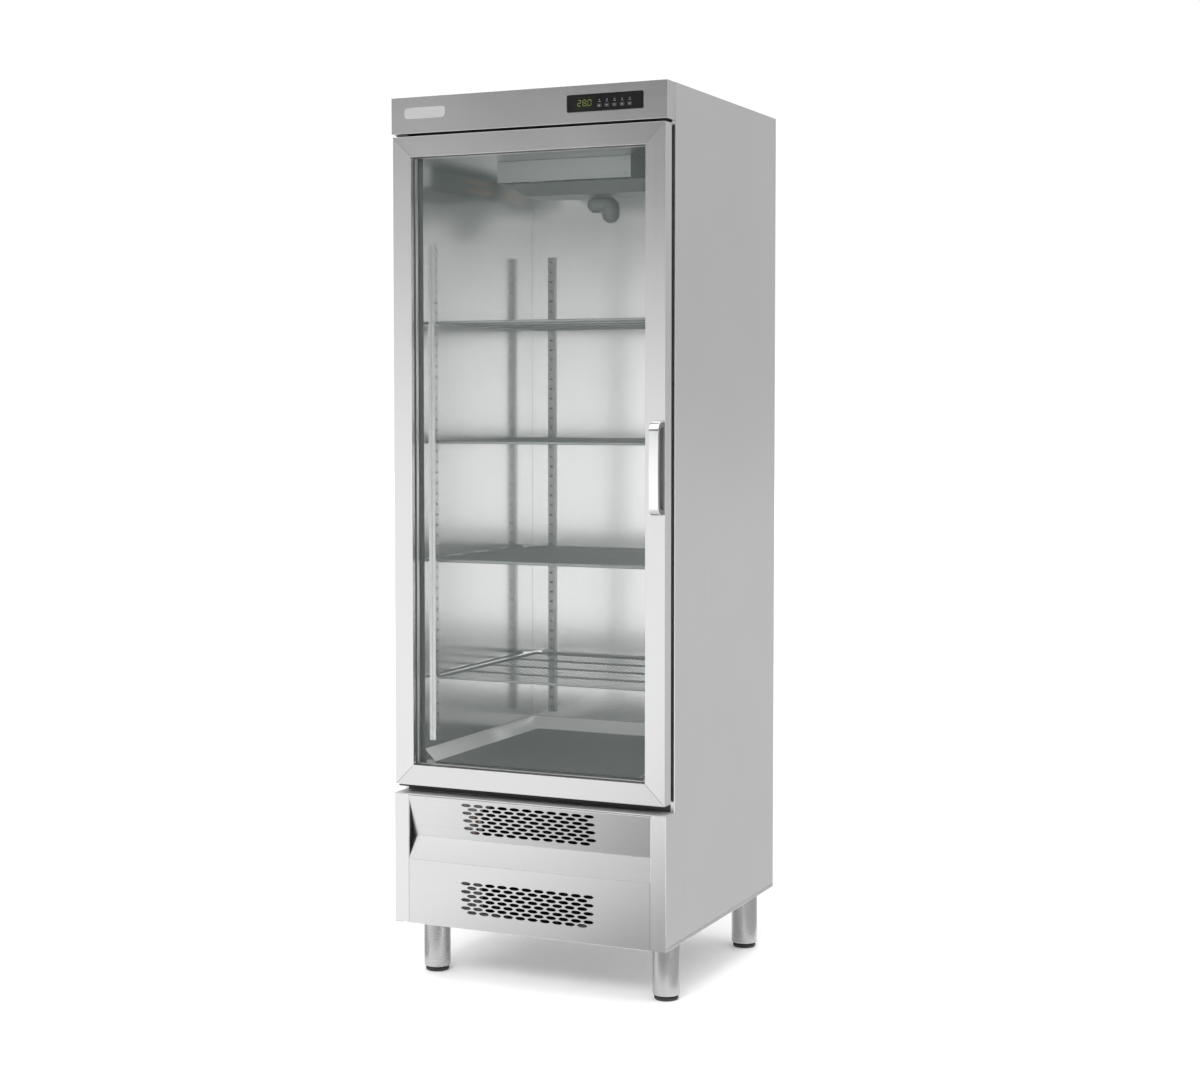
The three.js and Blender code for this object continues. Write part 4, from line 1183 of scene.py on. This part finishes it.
def sky_mix(share, first, second):
    return sky.add("Mix", links={"Factor": share, 6: first, 7: second}, data_type="RGBA").outputs[2]


around = sky_ramp([(0, 0.56), (0.2, 0.56), (0.5, 0.85), (1, 1.35)])
front = sky_ramp([(0, 1.4), (0.04, 0.8), (0.08, 0.2), (0.13, 0.0), (0.33, 0.0), (0.45, 0.12), (0.6, 0.35),
                  (1, 1.3)])
further_left = sky_ramp([(0, 1.3), (0.05, 0.95), (0.1, 0.45), (0.2, 0.22), (0.33, 0.5), (0.45, 2.4),
                         (0.6, 3.0), (1, 1.3)])
front_share = facing((-0.1, -1, 0), 0.3, 0.7)
left_share = facing((-0.895, 0.446, 0), -0.1, 0.1)
studio = sky_mix(front_share, around, sky_mix(left_share, front, further_left))
seen = sky.add("Background", {"Color": (1, 1, 1, 1), "Strength": 1.05})
lit_by = sky.add("Background", links={"Color": studio})
is_seen = sky.add("LightPath").outputs["Is Camera Ray"]
choice = sky.add("MixShader", links={"Fac": is_seen, 1: lit_by.outputs[0], 2: seen.outputs[0]})
sky.add("OutputWorld", links={"Surface": choice.outputs[0]})


def aimed_light(name, kind, direction, energy):
    data = bpy.data.lights.new(name, kind)
    data.energy = energy
    lamp = bpy.data.objects.new(name, data)
    scene.collection.objects.link(lamp)
    lamp.rotation_mode = "QUATERNION"
    lamp.rotation_quaternion = Vector(direction).to_track_quat("-Z", "Y")
    return lamp


FILL_PLACE = Vector((0.3, -4.2, 3.2))
FILL_TARGET = Vector((0, 0, 1.2))
fill = aimed_light("front_fill", "AREA", FILL_TARGET - FILL_PLACE, 140)
fill.location = FILL_PLACE
fill.data.shape = "RECTANGLE"
fill.data.size, fill.data.size_y = 2.0, 1.2
fill.visible_glossy = False

sun = aimed_light("soft_top", "SUN", (-0.35, 0.25, -1), 0.9)
sun.data.angle = math.radians(60)


def studio_card(name, low, high, left_level=0.60, right_level=0.60, fade=(0, 1)):
    """A glowing card on the floor that only reflections see; its level may fade from left to right."""
    paint = Finish(name, Roughness=1.0, Emission_Color=(1, 1, 1, 1), Base_Color=(0, 0, 0, 1))
    across = paint.add("SeparateXYZ", links={0: paint.place}).outputs["X"]
    glow = paint.ranged(across, *fade, left_level, right_level)
    paint.link(glow, paint.shader.inputs["Emission Strength"])
    card = staged(name, low, high, 2 * MM, name)
    card.visible_camera = False
    card.visible_diffuse = False
    card.visible_shadow = False
    card.visible_transmission = False


studio_card("side_card", (0.42, -0.4), (29, 29))
studio_card("front_card", (-12, -14), (1.0, -0.42), 1.12, 0.42, (-0.6, 0.05))
studio_card("left_card", (-29, -0.4), (-0.42, 29))
studio_card("rear_card", (-0.42, 0.46), (0.42, 29))
